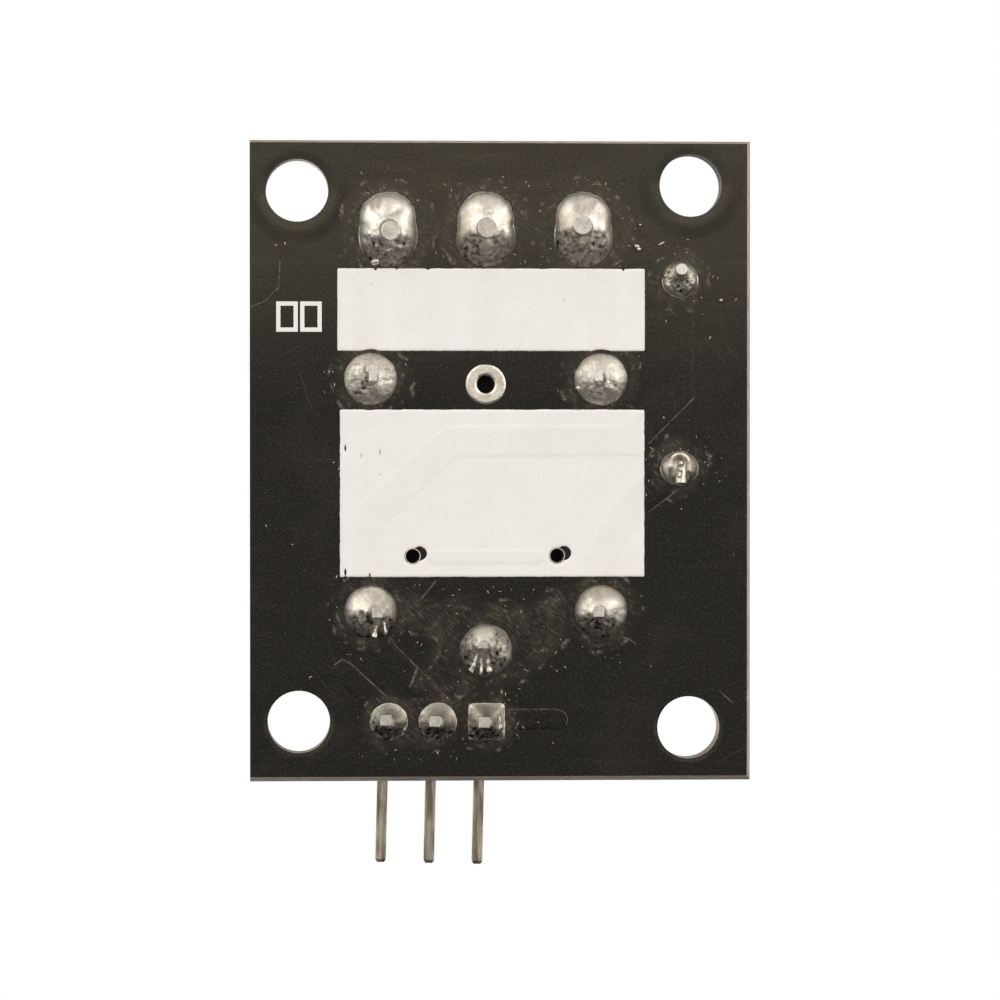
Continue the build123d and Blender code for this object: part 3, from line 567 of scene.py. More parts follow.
def show(name, points, faces, slot, finish=None, marks=None, stands_for=(), sharp=None):
    """Makes a piece from points in millimetres, with its faces turned outwards, and puts it on the board."""
    mesh = new_mesh(name, points, faces)
    for label, values in (marks or {}).items():
        mesh.attributes.new(label, "FLOAT", "POINT").data.foreach_set("value", values)
    work = bmesh.new()
    work.from_mesh(mesh)
    bmesh.ops.recalc_face_normals(work, faces=work.faces)
    work.to_mesh(mesh)
    work.free()
    mesh.polygons.foreach_set("use_smooth", [True] * len(mesh.polygons))
    if sharp is not None:
        mesh.set_sharp_from_angle(angle=math.radians(sharp))
    mesh.materials.append(finish or finishes[slot])
    piece = new_object(name, mesh)
    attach(piece, BOARD)
    if stands_for:
        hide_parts(*stands_for)


def film(inside, rise, area, step):
    """Points and faces of a closed thin layer on the board: it lies where inside is above zero, as thick as rise."""
    x0, y0, x1, y1 = area
    columns, rows = math.ceil((x1 - x0) / step), math.ceil((y1 - y0) / step)
    depth = [[inside(x0 + i * step, y0 + j * step) for i in range(columns + 1)] for j in range(rows + 1)]
    flat, where, faces = [], {}, []

    def place(key, x, y):
        if key not in where:
            where[key] = len(flat)
            flat.append((x, y))
        return where[key]

    for j in range(rows):
        for i in range(columns):
            ring = ((i, j), (i + 1, j), (i + 1, j + 1), (i, j + 1))
            levels = [depth[b][a] for a, b in ring]
            if max(levels) <= 0:
                continue
            face = []
            for k in range(4):
                (a, b), (c, d) = ring[k], ring[(k + 1) % 4]
                here, there = levels[k], levels[(k + 1) % 4]
                if here > 0:
                    face.append(place((a, b), x0 + a * step, y0 + b * step))
                if (here > 0) != (there > 0):
                    share = min(0.98, max(0.02, here / (here - there)))
                    key = ((a, b), (c, d)) if here > 0 else ((c, d), (a, b))
                    face.append(place(key, x0 + (a + (c - a) * share) * step, y0 + (b + (d - b) * share) * step))
            faces.append(face)
    count = len(flat)
    points = [(x, y, -rise(x, y)) for x, y in flat] + [(x, y, 0.0) for x, y in flat]
    edges = {(a, b): True for face in faces for a, b in zip(face, face[1:] + face[:1])}
    walls = [(a, b, b + count, a + count) for a, b in edges if (b, a) not in edges]
    return points, [face[::-1] for face in faces] + [[p + count for p in face] for face in faces] + walls


def joined(films):
    """Points and faces of several films as one."""
    points, faces = [], []
    for more_points, more_faces in films:
        faces += [[p + len(points) for p in face] for face in more_faces]
        points += more_points
    return points, faces


# Copper tracks, felt through the mask and the print
contact_rail = ((-7.20, 2.29), (-6.49, 1.66), (2.64, 1.61), (7.28, -2.70), (7.34, -6.10), (7.30, -8.60), (5.60, -8.60),
                (5.62, -6.10), (5.65, -3.61), (1.99, -0.09), (-7.67, -0.01), (-8.60, 0.80), (-8.10, 2.20))
coil_rail = ((-7.67, -1.06), (-5.97, -2.44), (-4.80, -5.05), (-4.69, -6.10), (-4.75, -8.20), (-6.40, -8.20),
             (-6.42, -6.10), (-6.49, -5.31), (-7.67, -3.09))
track_runs = (
    (((6.51, 4.10), (6.51, 9.90), (5.52, 11.86)), 1.67),
    (((0.44, 5.15), (0.44, 11.86)), 1.66),
    (((-5.65, 4.10), (-5.65, 9.90), (-4.64, 11.86)), 1.70),
    (((3.13, -5.22), (-2.28, -5.22)), 0.85),
    (((-9.63, 9.26), (-9.63, 3.38), (-7.50, 1.30)), 1.62),
    (((-9.66, -0.52), (-7.40, -2.20)), 1.70),
    (((5.62, -13.35), (7.85, -11.15)), 1.20),
    (((6.35, -8.30), (6.05, -9.85), (2.85, -13.00)), 1.20),
    (((3.20, -6.40), (4.30, -7.60), (5.60, -8.10)), 1.10),
    (((0.40, -13.70), (-3.30, -13.70)), 1.08),
)


def over_copper(x, y):
    """How far inside the nearest track a place is."""
    return max([inside_corners(x, y, contact_rail), inside_corners(x, y, coil_rail)] +
               [inside_run(x, y, points, width) for points, width in track_runs])


def copper_rise(x, y):
    return track_rise * ease(over_copper(x, y) / track_slope)


def tracks():
    """The copper's relief under the mask, one thin step above the board."""
    x0, y0, x1, y1 = board_sides
    area = (x0 + 1.5, y0 + 1.5, x1 - 1.5, y1 - 2.5)
    points, faces = film(over_copper, lambda x, y: copper_rise(x, y) + 0.001, area, step=0.09)
    show("masked_tracks", points, faces, "solder_mask", sharp=25)


# Print

def ragged(x, y):
    """The small waver of a screened edge."""
    return 0.022 * mottle(x, y, 0.55, 3.0) + 0.018 * mottle(x, y, 0.16, 8.0)


# Chips in the print: middle and two half sizes
ink_nicks = ((7.74, 0.43, 0.05, 0.18), (6.90, -0.01, 0.04, 0.14), (5.94, 0.25, 0.035, 0.20), (5.96, -0.95, 0.03, 0.14),
             (7.74, -6.02, 0.06, 0.20), (6.48, -6.16, 0.05, 0.12), (6.17, 9.72, 0.06, 0.08), (5.07, 9.74, 0.05, 0.07),
             (3.45, 9.73, 0.07, 0.06), (-6.73, 9.72, 0.06, 0.08), (6.38, 8.87, 0.03, 0.05), (-3.60, 8.08, 0.03, 0.06))


def ink_block(name, box, node):
    """One printed block: ragged edges, cleared round the contact joints, opened at the small holes, and nicked."""
    nicks = [nick for nick in ink_nicks if inside_box(nick[0], nick[1], box) > -0.3]
    openings = [(pad, contact_ink_clearance) for pad in contact_pads]
    for x, y in jumper_holes:
        shifted = (x + jumper_ink_shift[0], y + jumper_ink_shift[1])
        openings += [((x, y), jumper_ink_radius), (shifted, jumper_hole_radius)]

    def inside(x, y):
        depth = min([inside_box(x, y, box)] + [-inside_circle(x, y, middle, radius) for middle, radius in openings])
        for nx, ny, wide, tall in nicks:
            if abs(x - nx) < 0.5 and abs(y - ny) < 0.5:
                depth = min(depth, (math.hypot((x - nx) / wide, (y - ny) / tall) - 1) * min(wide, tall))
        return depth + ragged(x, y)

    def rise(x, y):
        edge = ease(inside(x, y) / 0.08)
        return ink_foot + (ink_rise - ink_foot) * edge + copper_rise(x, y) * 1.1 + 0.002 * mottle(x, y, 0.4)

    points, faces = film(inside, rise, grown(box, 0.1), step=0.075)
    raised = [ease(over_copper(x, y) / track_slope) for x, y, z in points]
    show(name, points, faces, "print_ink", marks={"over_copper": raised}, stands_for=(node,))


# Solder joints

def round_pad(radius):
    return lambda angle: radius


def slot_pad(radius, half_straight):
    """Reach of a slot-shaped pad that stands upright, in each direction."""
    def reach(angle):
        across, along = abs(math.cos(angle)), abs(math.sin(angle))
        if along * radius <= half_straight * across:
            return radius / across
        return along * half_straight + math.sqrt(radius ** 2 - (across * half_straight) ** 2)
    return reach


def square_pad(half):
    """Reach of a square pad with tight round corners."""
    sharpness = 12.0

    def reach(angle):
        across, along = abs(math.cos(angle)), abs(math.sin(angle))
        return half / (across ** sharpness + along ** sharpness) ** (1 / sharpness)
    return reach


def uneven_slot(angle):
    """Reach of a terminal joint: the solder draws in a little above the pin and fills the pad below it."""
    return slot_pad(1.53, 0.48)(angle) * (0.965 + 0.045 * ease(0.5 - 2.2 * math.sin(angle)))


def joint(name, pad, tip, reach, crown, fullness, core, seed, lumps=0.05, collar=0.0, ragged_rim=0.03, ridge=None,
          mound=None, shade_and_residue_ovals=(), fins=(), rim=0.95):
    """One solder joint: a skin from the pad's outline up to the pin, between a hollow cone and a full dome.

    The ridge is a bent lead that it covers: two ends, a radius and a height. The mound is an oval swelling with
    a groove round it, and the shade and residue ovals are darkened by the residue mark, partly as painted shade of
    the joint's darker lower side and partly as residue. Both are given from the tip, as how far over and up their
    middle is, and their two half sizes, with the darkening's strength last. Fins are level-topped runs of solder
    below the pin: two ends from the tip, a half width and a height. Past the rim the pad is only wetted.
    """
    spokes, rings = 112, 34
    highest, wetted, foot_height = tail_end - 0.03, 0.03, 0.012
    points, rims, painted_shade_and_residue = [], [], []
    lean = crown / tail_end
    top = (pad[0] + (tip[0] - pad[0]) * lean, pad[1] + (tip[1] - pad[1]) * lean)
    for ring in range(rings + 1):
        share = (ring / rings) ** 0.85
        for spoke in range(spokes):
            angle = 2 * math.pi * spoke / spokes
            cx, cy = math.cos(angle), math.sin(angle)
            wave = (noise.noise(Vector((cx * 1.6, cy * 1.6, seed))) +
                    0.5 * noise.noise(Vector((cx * 5, cy * 5, seed + 4))))
            far = reach(angle) * (1 + ragged_rim * wave)
            near = (top[0] + core * cx, top[1] + core * cy)
            edge = (pad[0] + far * cx, pad[1] + far * cy)
            x, y = near[0] + (edge[0] - near[0]) * share, near[1] + (edge[1] - near[1]) * share
            across, up = x - tip[0], y - tip[1]

            def lump(size, shift=0):
                return mottle(x, y, size, seed + shift)

            out = min(1.0, share / (rim + 0.02 * wave))
            height = crown * ((1 - fullness) * (1 - out) ** 1.8 + fullness * (1 - out ** 2.2) ** 0.72)
            swell = math.sin(math.pi * min(1, share * 1.02)) ** 0.8 if share < 0.98 else 0.0
            below = 0.25 + 0.75 * ease((top[1] - y) / 0.3 + 0.3)
            height += swell * lumps * lump(1.1)
            height += swell * below * lumps * (0.55 * lump(0.42, 7) + 0.2 * lump(0.16, 11))
            height += collar * math.exp(-(share / 0.09) ** 2)
            if ridge:
                ends, radius, lift = ridge
                over = inside_run(x, y, ends, 2 * radius)
                height -= 0.16 * math.exp(-((over + 0.05) / 0.07) ** 2) * ease((1 - share) / 0.3)
                height = max(height, lift * math.sqrt(ease((over + 0.04) / (radius + 0.04))))
            for ends, half, level in fins:
                down = min(1.0, max(0.0, (ends[0][1] + tip[1] - y) / (ends[0][1] - ends[1][1])))
                on_fin = inside_run(across, up, ends, 2 * half * (0.55 + 0.75 * down)) + 0.05 * lump(0.2, 31)
                if on_fin > -0.03:
                    fin_top = level - 0.05 * down + 0.04 * lump(0.25, 33)
                    height = max(height, fin_top * ease((on_fin + 0.03) / 0.09))
            groove = 0.0
            if mound:
                off = oval(across, up, mound) - 1 + 0.22 * lump(0.5, 19)
                groove = math.exp(-(off / 0.2) ** 2) * ease((0.97 - share) / 0.15) * ease(0.6 + lump(0.8, 21))
                height += 0.02 * ease(0.3 - off) - 0.026 * groove
            points.append((x, y, -min(highest, max(wetted if share < 1 else foot_height, height))))
            rims.append(share)
            # The residue mark: painted shade in the groove round the mound and in the crease at the pin, a darker ring
            # at the rim that is stronger up the board, and the ovals, partly painted shade and partly residue
            at_rim = 0.9 * ease((share - rim + 0.03) / 0.03)
            at_rim *= ease(0.35 + 1.4 * lump(0.7, 25) + 0.7 * ease((y - pad[1]) / 0.4))
            residue_and_painted_shade = [0.35 * groove, 0.7 * ease(1 - share / 0.05), at_rim]
            for spot in shade_and_residue_ovals:
                edge_out = 1.25 - oval(across, up, spot) + 0.3 * lump(0.35, 15)
                residue_and_painted_shade.append(spot[4] * ease(edge_out / 0.45) * (0.75 + 0.6 * lump(0.2, 17)))
            # On the fins the painted shade gives way to a light darkening, so they stand out pale
            if any(inside_run(across, up, ends, 2 * half) > 0 for ends, half, level in fins):
                residue_and_painted_shade = [0.35 * ease(0.4 + lump(0.18, 35))]
            painted_shade_and_residue.append(min(1.0, max(residue_and_painted_shade)))
    foot = len(points)
    points += [(x, y, 0.0) for x, y, z in points[rings * spokes:]]
    rims += [1.0] * spokes
    painted_shade_and_residue += [0.0] * spokes
    faces = [(r * spokes + s, r * spokes + (s + 1) % spokes, (r + 1) * spokes + (s + 1) % spokes, (r + 1) * spokes + s)
             for r in range(rings + 1) for s in range(spokes)]
    for first, rim_share in ((0, 0.0), (foot, 1.0)):
        middle = len(points)
        ring_points = points[first:first + spokes]
        points.append(tuple(sum(point[k] for point in ring_points) / spokes for k in range(3)))
        rims.append(rim_share)
        painted_shade_and_residue.append(0.0)
        faces += [(middle, first + (s + 1) % spokes, first + s) for s in range(spokes)]
    show(name + "_skin", points, faces, "solder", marks={"rim": rims, "residue": painted_shade_and_residue}, stands_for=(name,))


# Each terminal joint: its tip, its mound and the ovals of painted shade and residue that it has besides those beside
# the pin
terminal_joints = (
    ((5.42, 11.64), (0.10, 1.34, 0.78, 0.52), ((0.62, 1.45, 0.16, 0.4, 0.35),)),
    ((0.43, 11.77), None, ((-0.02, 0.95, 0.55, 0.22, 0.28),)),
    ((-4.50, 11.96), None, ((-0.15, 1.15, 0.55, 0.55, 0.3),)),
)
# Ovals below the pin that paint the shade of the terminal joints' lower side
beside_pin = ((0.72, -1.00, 0.66, 0.82, 0.9), (-0.76, -0.98, 0.60, 0.82, 0.85), (0.02, -1.6, 0.9, 0.5, 0.85))

# Each of the relay's joints: name, pad, tip, crown, fullness, lumps, mound, ovals of painted shade and residue, and
# fins
relay_joints = (
    ("contact_solder_1", contact_pads[0], (6.34, 4.18), 0.56, 0.74, 0.07, (0.9, 0.0, 0.52, 0.74),
     ((0.40, 0.34, 0.12, 0.2, 0.75), (0.33, -0.05, 0.12, 0.28, 1.0), (0.46, -0.52, 0.16, 0.26, 1.1),
      (0.78, -0.86, 0.32, 0.14, 1.1), (0.0, 0.0, 1.7, 1.7, 0.36), (-0.2, -0.95, 0.9, 0.3, 0.45)), ()),
    ("contact_solder_2", contact_pads[1], (-5.33, 4.19), 0.58, 0.82, 0.1, None,
     ((-0.3, -0.95, 0.9, 0.35, 0.55), (0.0, 0.0, 1.7, 1.7, 0.26), (0.75, -0.3, 0.35, 0.3, 0.35)), ()),
    ("coil_solder_1", coil_pads[0], (6.11, -8.07), 1.0, 0.75, 0.08, None,
     ((0.80, -0.75, 0.9, 0.75, 1.0), (-0.3, -0.8, 0.9, 0.6, 1.0), (-0.55, 0.45, 0.7, 0.6, 0.35)),
     ((((0.02, -0.45), (0.12, -1.25)), 0.13, 0.84), (((-0.36, -0.5), (-0.46, -1.15)), 0.10, 0.82))),
    ("coil_solder_2", coil_pads[1], (-5.34, -8.05), 0.98, 0.72, 0.1, None,
     ((0.1, -0.85, 1.35, 0.78, 1.0), (0.4, 0.7, 0.6, 0.5, 0.3)), ()),
    ("common_solder", common_pad, (0.68, -9.75), 0.96, 0.7, 0.08, None,
     ((0.1, -0.85, 1.4, 0.8, 1.0), (0.85, 0.15, 0.6, 0.75, 0.7), (-0.9, 0.1, 0.5, 0.7, 0.7)),
     ((((0.14, -0.35), (0.54, -1.40)), 0.14, 0.80), (((0.00, -0.4), (0.03, -1.5)), 0.11, 0.78),
      (((-0.22, -0.4), (-0.40, -1.38)), 0.13, 0.80))),
)

# Each header joint: its pad's outline and its fins
header_joints = (
    (round_pad(1.0), ((((-0.78, 0.05), (-0.82, -0.45)), 0.035, 0.2), (((0.66, 0.5), (0.86, 0.1)), 0.04, 0.2))),
    (round_pad(1.0), ((((-0.55, 0.25), (-0.55, -0.02)), 0.15, 0.42),)),
    (square_pad(0.97), ((((-0.62, 0.45), (-0.66, -0.3)), 0.15, 0.36), (((0.76, 0.76), (0.8, 0.6)), 0.07, 0.16))),
)
# Ovals on every header joint, mostly below the pin: painted shade, with some residue
header_shade_and_residue = ((0.1, -0.68, 0.95, 0.5, 1.2), (0.8, -0.1, 0.25, 0.5, 0.7), (-0.5, -0.5, 0.3, 0.3, 0.9),
                  (0.0, 0.7, 0.9, 0.3, 0.3))


def joints():
    """The joints of the terminal, the relay, the header and the diode."""
    for count, (pad, (tip, mound, shaded)) in enumerate(zip(terminal_pads, terminal_joints), 1):
        joint(f"terminal_solder_{count}", pad, tip, uneven_slot, 0.82, 0.84, 0.5, seed=10.0 + count, lumps=0.12,
              mound=mound, shade_and_residue_ovals=beside_pin + shaded, rim=0.965)
    for count, (name, pad, tip, crown, fullness, lumps, mound, shade_and_residue_ovals, fins) in enumerate(relay_joints):
        joint(name, pad, tip, round_pad(relay_pad_radius), crown, fullness, 0.2, seed=30.0 + count * 2.3, lumps=lumps,
              collar=0.16, mound=mound, shade_and_residue_ovals=shade_and_residue_ovals, fins=fins, rim=1.0)
    for count, (x, (reach, fins)) in enumerate(zip(header_xs, header_joints), 1):
        joint(f"header_solder_{count}", (x, header_y), (x, header_y), reach, 0.9, 0.22, 0.3, seed=50.0 + count,
              lumps=0.06, collar=0.03, ragged_rim=0.012, shade_and_residue_ovals=header_shade_and_residue, fins=fins, rim=0.97)
    joint("diode_solder_1", (-9.70, 9.20), (-9.66, 9.96), round_pad(0.96), 0.7, 0.75, 0.3, seed=61.0, lumps=0.16,
          collar=0.05, shade_and_residue_ovals=((0.05, -1.0, 0.55, 0.5, 1.0), (0.0, 0.05, 0.6, 0.25, 0.5)),
          fins=((((0.60, -0.12), (0.80, -0.62)), 0.07, 0.50), (((0.74, -0.75), (0.46, -1.25)), 0.05, 0.40),
                (((-0.42, -0.2), (-0.52, -0.72)), 0.08, 0.56), (((-0.72, -0.2), (-0.80, -0.8)), 0.04, 0.36)), rim=0.94)
    joint("diode_solder_2", (-9.66, -0.62), (-9.66, -0.60), lambda angle: 0.9 + 0.12 * math.cos(angle) ** 2,
          0.98, 0.6, 0.2, seed=67.0, lumps=0.06, ridge=(((-9.66, -0.3), (-9.58, -1.02)), 0.37, 1.27))


# Small coats of solder, flux and dirt

def coats():
    """The ring of solder round the spare hole and the thin plated rims of the two small holes."""
    inner, outer = spare_ring
    rim_half = 0.018

    def on_ring(x, y):
        return inside_ring(x, y, spare_pad, inner, (outer - inner) / 2)

    def ring_rise(x, y):
        smooth = 0.012 + 0.04 * ease(on_ring(x, y) / 0.1)
        return smooth + 0.012 * mottle(x, y, 0.6, 2.0) + 0.006 * mottle(x, y, 0.15, 4.0)

    def hole_rim(hole):
        return film(lambda x, y: inside_ring(x, y, hole, jumper_hole_radius, rim_half), lambda x, y: 0.05,
                    around(*hole, 0.5), step=0.016)

    points, faces = film(on_ring, ring_rise, around(*spare_pad, outer + 0.1), step=0.04)
    show("spare_ring_coat", points, faces, "solder", stands_for=("spare_pad",))
    show("small_hole_rims", *joined(hole_rim(hole) for hole in jumper_holes), "solder")


# Stray beads of solder: middle, two half sizes and turn
beads = ((6.17, 10.12, 0.31, 0.20, -0.45), (-4.38, 3.54, 0.20, 0.18, 0.4), (-7.43, 10.93, 0.17, 0.13, 0.3),
         (-7.54, 10.78, 0.14, 0.12, 0.0), (-8.72, 11.08, 0.20, 0.07, -0.55), (-11.83, 8.13, 0.12, 0.11, 0.0),
         (-7.62, 12.05, 0.07, 0.06, 0.0))


def bead(bx, by, long_half, short_half, turn):
    """The film of one bead."""
    def inside(x, y):
        along = (x - bx) * math.cos(turn) + (y - by) * math.sin(turn)
        across = (y - by) * math.cos(turn) - (x - bx) * math.sin(turn)
        return (1 - math.hypot(along / long_half, across / short_half)) * short_half + 0.015 * mottle(x, y, 0.15, 41.0)

    def rise(x, y):
        out = 1 - min(1.0, inside(x, y) / short_half)
        return 0.02 + 1.5 * short_half * math.sqrt(max(0.0, 1 - out ** 2))

    return film(inside, rise, around(bx, by, 0.4), step=0.022)


# Each joint's place, with the radius that the flux lies round
joint_places = ([(x, y, 1.9) for x, y in terminal_pads] +
                [(x, y, 1.45) for x, y in (*contact_pads, *coil_pads, common_pad)] +
                [(x, header_y, 1.0) for x in header_xs] + [(-9.68, 9.20, 0.95), (-9.66, -0.60, 1.0)])
flux_pool = ((6.4, -6.6), (1.6, -7.4), (-1.2, -7.6), (-5.2, -6.6), (-6.9, -8.6), (-4.2, -9.6), (-1.6, -11.6),
             (0.4, -12.6), (4.4, -12.2), (3.4, -9.8), (5.0, -8.6))


def flux_reach(x, y):
    """How far inside the dried flux a place is: halos round the joints and one pool between the relay's rear pins."""
    waver = 0.36 * mottle(x, y, 1.6, 5.0) + 0.2 * mottle(x, y, 0.5, 9.0)
    halo = max(radius + 0.8 - math.hypot(x - px, y - py) for px, py, radius in joint_places)
    return max(halo, 0.8 * inside_corners(x, y, flux_pool) + 0.2) + waver


def flux_rise(x, y):
    """Thin skin with streaks: rings close to a joint and slanting dashes elsewhere."""
    px, py, radius = min(joint_places, key=lambda place: math.hypot(x - place[0], y - place[1]) - place[2])
    gap, angle = math.hypot(x - px, y - py), math.atan2(y - py, x - px)
    ring = ease(1.6 - (gap - radius) / 0.35)
    rings = mottle(angle * 2.2, gap / 0.16, 1.0, px + 3.0)
    slant = mottle((x + y) / 0.75, (x - y) / 0.2, 1.0, 4.0)
    dash = max(0.0, ring * rings + (1 - ring) * slant - 0.25)
    thick = ease(flux_reach(x, y) / 0.9)
    return 0.0008 + copper_rise(x, y) + thick * (0.006 + 0.045 * dash + 0.003 * mottle(x, y, 0.3, 6.0))


def flux_margin(x, y):
    """How strongly a place shows one of the two pale lines that the flux dries to along its edge."""
    reach = flux_reach(x, y)
    outer = 0.9 * math.exp(-((reach - 0.16) / 0.1) ** 2) * ease(3 * mottle(x, y, 0.55, 51.0))
    return outer + 0.6 * math.exp(-((reach - 0.62) / 0.07) ** 2) * ease(3 * mottle(x, y, 0.4, 57.0) - 0.3)


def in_print(x, y):
    return max(inside_box(x, y, upper_ink), inside_box(x, y, lower_ink))


def flux():
    """The dried flux, kept off the joints, the print and the board's edge."""
    def inside(x, y):
        return min([flux_reach(x, y), 0.06 - in_print(x, y), inside_box(x, y, board_sides) - 0.6] +
                   [0.1 - inside_circle(x, y, (px, py), radius * 0.8) for px, py, radius in joint_places])

    points, faces = film(inside, flux_rise, (-11.6, -15.9, 9.2, 14.9), step=0.075)
    marks = {"depth": [ease(flux_reach(x, y) / 0.7) for x, y, z in points],
             "margin": [flux_margin(x, y) for x, y, z in points]}
    show("flux_skin", points, faces, "solder_mask", residue, marks, sharp=35)


scratch_and_glint_lines = (
    (((11.13, 10.12), (11.18, 8.76), (11.91, 8.03), (12.62, 7.75)), 0.07),
    (((8.31, -10.82), (7.89, -10.56), (7.47, -10.77), (5.49, -12.60)), 0.06),
    (((3.04, -6.49), (3.82, -7.43)), 0.07),
    (((-0.72, -13.17), (-3.20, -13.17), (-3.52, -13.24), (-3.74, -13.42), (-3.83, -13.70), (-3.74, -13.98)), 0.05),
    (((-6.73, -9.46), (-7.10, -9.58), (-7.41, -9.78)), 0.08),
    (((-11.74, -12.23), (-12.45, -12.86)), 0.06),
    # These two follow track edges, where the pale colour is a painted highlight
    (((-10.44, 3.05), (-8.05, 0.66)), 0.055),
    (((-8.03, -2.94), (-10.70, -0.90)), 0.055),
    (((5.49, -9.46), (2.36, -12.65)), 0.05),
)


def raised_line(points, width):
    """The film of one thin raised line, where the mask is dragged, and where a track's edge shows through it with a
    painted highlight.
    """
    xs, ys = [p[0] for p in points], [p[1] for p in points]

    def inside(x, y):
        return inside_run(x, y, points, width) + 0.016 * mottle(x, y, 0.5, 21.0) + 0.014 * mottle(x, y, 0.14, 23.0)

    return film(inside, lambda x, y: copper_rise(x, y) + 0.004 + 0.012 * ease(inside(x, y) / 0.03),
                grown((min(xs), min(ys), max(xs), max(ys)), 0.2), step=0.04)


def speck_tree(finish, per_mm2, smallest, largest, longest, seed):
    """Scatters flattened specks over a ground: each lies turned at random, longer one way."""
    tree = bpy.data.node_groups.new("specks", "GeometryNodeTree")
    for way in ("INPUT", "OUTPUT"):
        tree.interface.new_socket("Geometry", in_out=way, socket_type="NodeSocketGeometry")
    g = Wiring(tree)
    given, out = g.add("NodeGroupInput").outputs, g.add("NodeGroupOutput").inputs

    def random(low, high, own_seed):
        node = g.add("FunctionNodeRandomValue", {"data_type": "FLOAT"}, Seed=own_seed)
        g.feed(node.inputs[2], low)
        g.feed(node.inputs[3], high)
        return node.outputs[1]

    scatter = g.add("GeometryNodeDistributePointsOnFaces", Mesh=given["Geometry"], Density=per_mm2 * 1e6, Seed=seed)
    shape = g.add("GeometryNodeMeshIcoSphere", Radius=1.0, Subdivisions=1)
    size = random(smallest * MM, largest * MM, seed)
    long_side = g.times(size, random(1.0, longest, 7))
    spin = g.add("ShaderNodeCombineXYZ", Z=random(0.0, math.pi, 11))
    extent = g.add("ShaderNodeCombineXYZ", X=long_side, Y=size, Z=g.times(size, 0.5))
    made = g.add("GeometryNodeInstanceOnPoints", Points=scatter.outputs["Points"], Instance=shape.outputs["Mesh"],
                 Rotation=spin.outputs[0], Scale=extent.outputs[0])
    for kind, more in (("RealizeInstances", {}), ("SetShadeSmooth", {}), ("SetMaterial", {"Material": finish})):
        made = g.add("GeometryNode" + kind, Geometry=made.outputs[0], **more)
    g.feed(out["Geometry"], made.outputs[0])
    return tree


def specks(name, inside, **scatter):
    """Solder specks wherever inside is above zero, as one piece."""
    points, faces = film(inside, copper_rise, board_sides, step=0.4)
    top_faces = [face for face in faces if all(p < len(points) // 2 for p in face)]
    ground = new_object(name + "_ground", new_mesh(name + "_ground", points, top_faces))
    ground.modifiers.new("scatter", "NODES").node_group = speck_tree(finishes["solder"], **scatter)
    evaluated = ground.evaluated_get(bpy.context.evaluated_depsgraph_get())
    made = bpy.data.meshes.new_from_object(evaluated)
    bpy.data.objects.remove(ground)
    made.name = name
    piece = new_object(name, made)
    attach(piece, BOARD)


def dirt():
    """Fine specks of solder on the open mask, densest where the flux lies."""
    def open_mask(x, y):
        closed = ([inside_circle(x, y, hole, 1.7) - 0.2 for hole in mounting_holes] +
                  [inside_circle(x, y, (px, py), radius * 0.9) for px, py, radius in joint_places])
        return min([-in_print(x, y) - 0.05, inside_box(x, y, board_sides) - 0.7] + [-depth for depth in closed])

    specks("solder_specks", lambda x, y: min(open_mask(x, y), flux_reach(x, y) + 0.5), per_mm2=1.6, smallest=0.009,
           largest=0.024, longest=7.0, seed=3)
    specks("stray_specks", open_mask, per_mm2=0.1, smallest=0.012, largest=0.04, longest=4.0, seed=8)


# Component side

print_line = 0.16
chip_ends = ("base_resistor_ends", "lamp_resistor_ends", "lamp_base_ends")
top_boxes = ((-7.65, -11.75, 8.50, 8.0), (-7.45, 7.98, 8.33, 16.1), (-1.20, -15.10, 7.05, -11.95))

# Each plated ring: middle, inner and outer radius
lead_rings = [(x, header_y, 0.70, 0.95) for x in header_xs] + [(-9.66, 9.26, 0.33, 0.85), (-9.66, -0.52, 0.33, 0.85)]

# How far a land runs out past a chip, in under it, and past its sides
land_out, land_in, land_side = 0.22, 0.62, 0.1


def on_top(points):
    """The same layer on the board's other face."""
    return [(x, y, board_thickness - z) for x, y, z in points]


def node_box(node):
    """A CAD node's box in millimetres: x0, y0, x1, y1, and the lowest and highest z."""
    low, high = ([c / MM for c in corner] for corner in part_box(node))
    return low[0], low[1], high[0], high[1], low[2], high[2]


def top_lands():
    """The tinned lands under the chips and the transistor, as boxes."""
    lands = []
    for chip in chip_ends:
        x0, y0, x1, y1 = node_box(chip)[:4]
        if x1 - x0 > y1 - y0:
            lands += [(x0 - land_out, y0 - land_side, x0 + land_in, y1 + land_side),
                      (x1 - land_in, y0 - land_side, x1 + land_out, y1 + land_side)]
        else:
            lands += [(x0 - land_side, y0 - land_out, x1 + land_side, y0 + land_in),
                      (x0 - land_side, y1 - land_in, x1 + land_side, y1 + land_out)]
    x0, y0, x1, y1 = node_box("transistor_legs")[:4]
    for end, inward, x in ((y0, land_in, (x0 + x1) / 2), (y1, -land_in, x0 + 0.2), (y1, -land_in, x1 - 0.2)):
        lands.append((x - 0.36, min(end, end + inward) - 0.16, x + 0.36, max(end, end + inward) + 0.16))
    return lands


def top_pads():
    """Tinned lands under the chips and the transistor, and the plated rings round the diode's and the header's pins."""
    lands = top_lands()

    def inside(x, y):
        return max([min(inside_box(x, y, land), 0.5) for land in lands] +
                   [inside_ring(x, y, (px, py), inner, (outer - inner) / 2) for px, py, inner, outer in lead_rings])

    def rise(x, y):
        return 0.01 + 0.05 * ease(inside(x, y) / 0.16) + 0.01 * mottle(x, y, 0.4, 31.0)

    def part(area):
        return film(lambda x, y: min(inside(x, y), inside_box(x, y, area) + 0.001), rise, area, step=0.05)

    areas = [grown(box, 0.1) for box in lands + [around(x, y, outer) for x, y, inner, outer in lead_rings]]
    points, faces = joined(part(area) for area in areas)
    show("top_pads", on_top(points), faces, "solder")


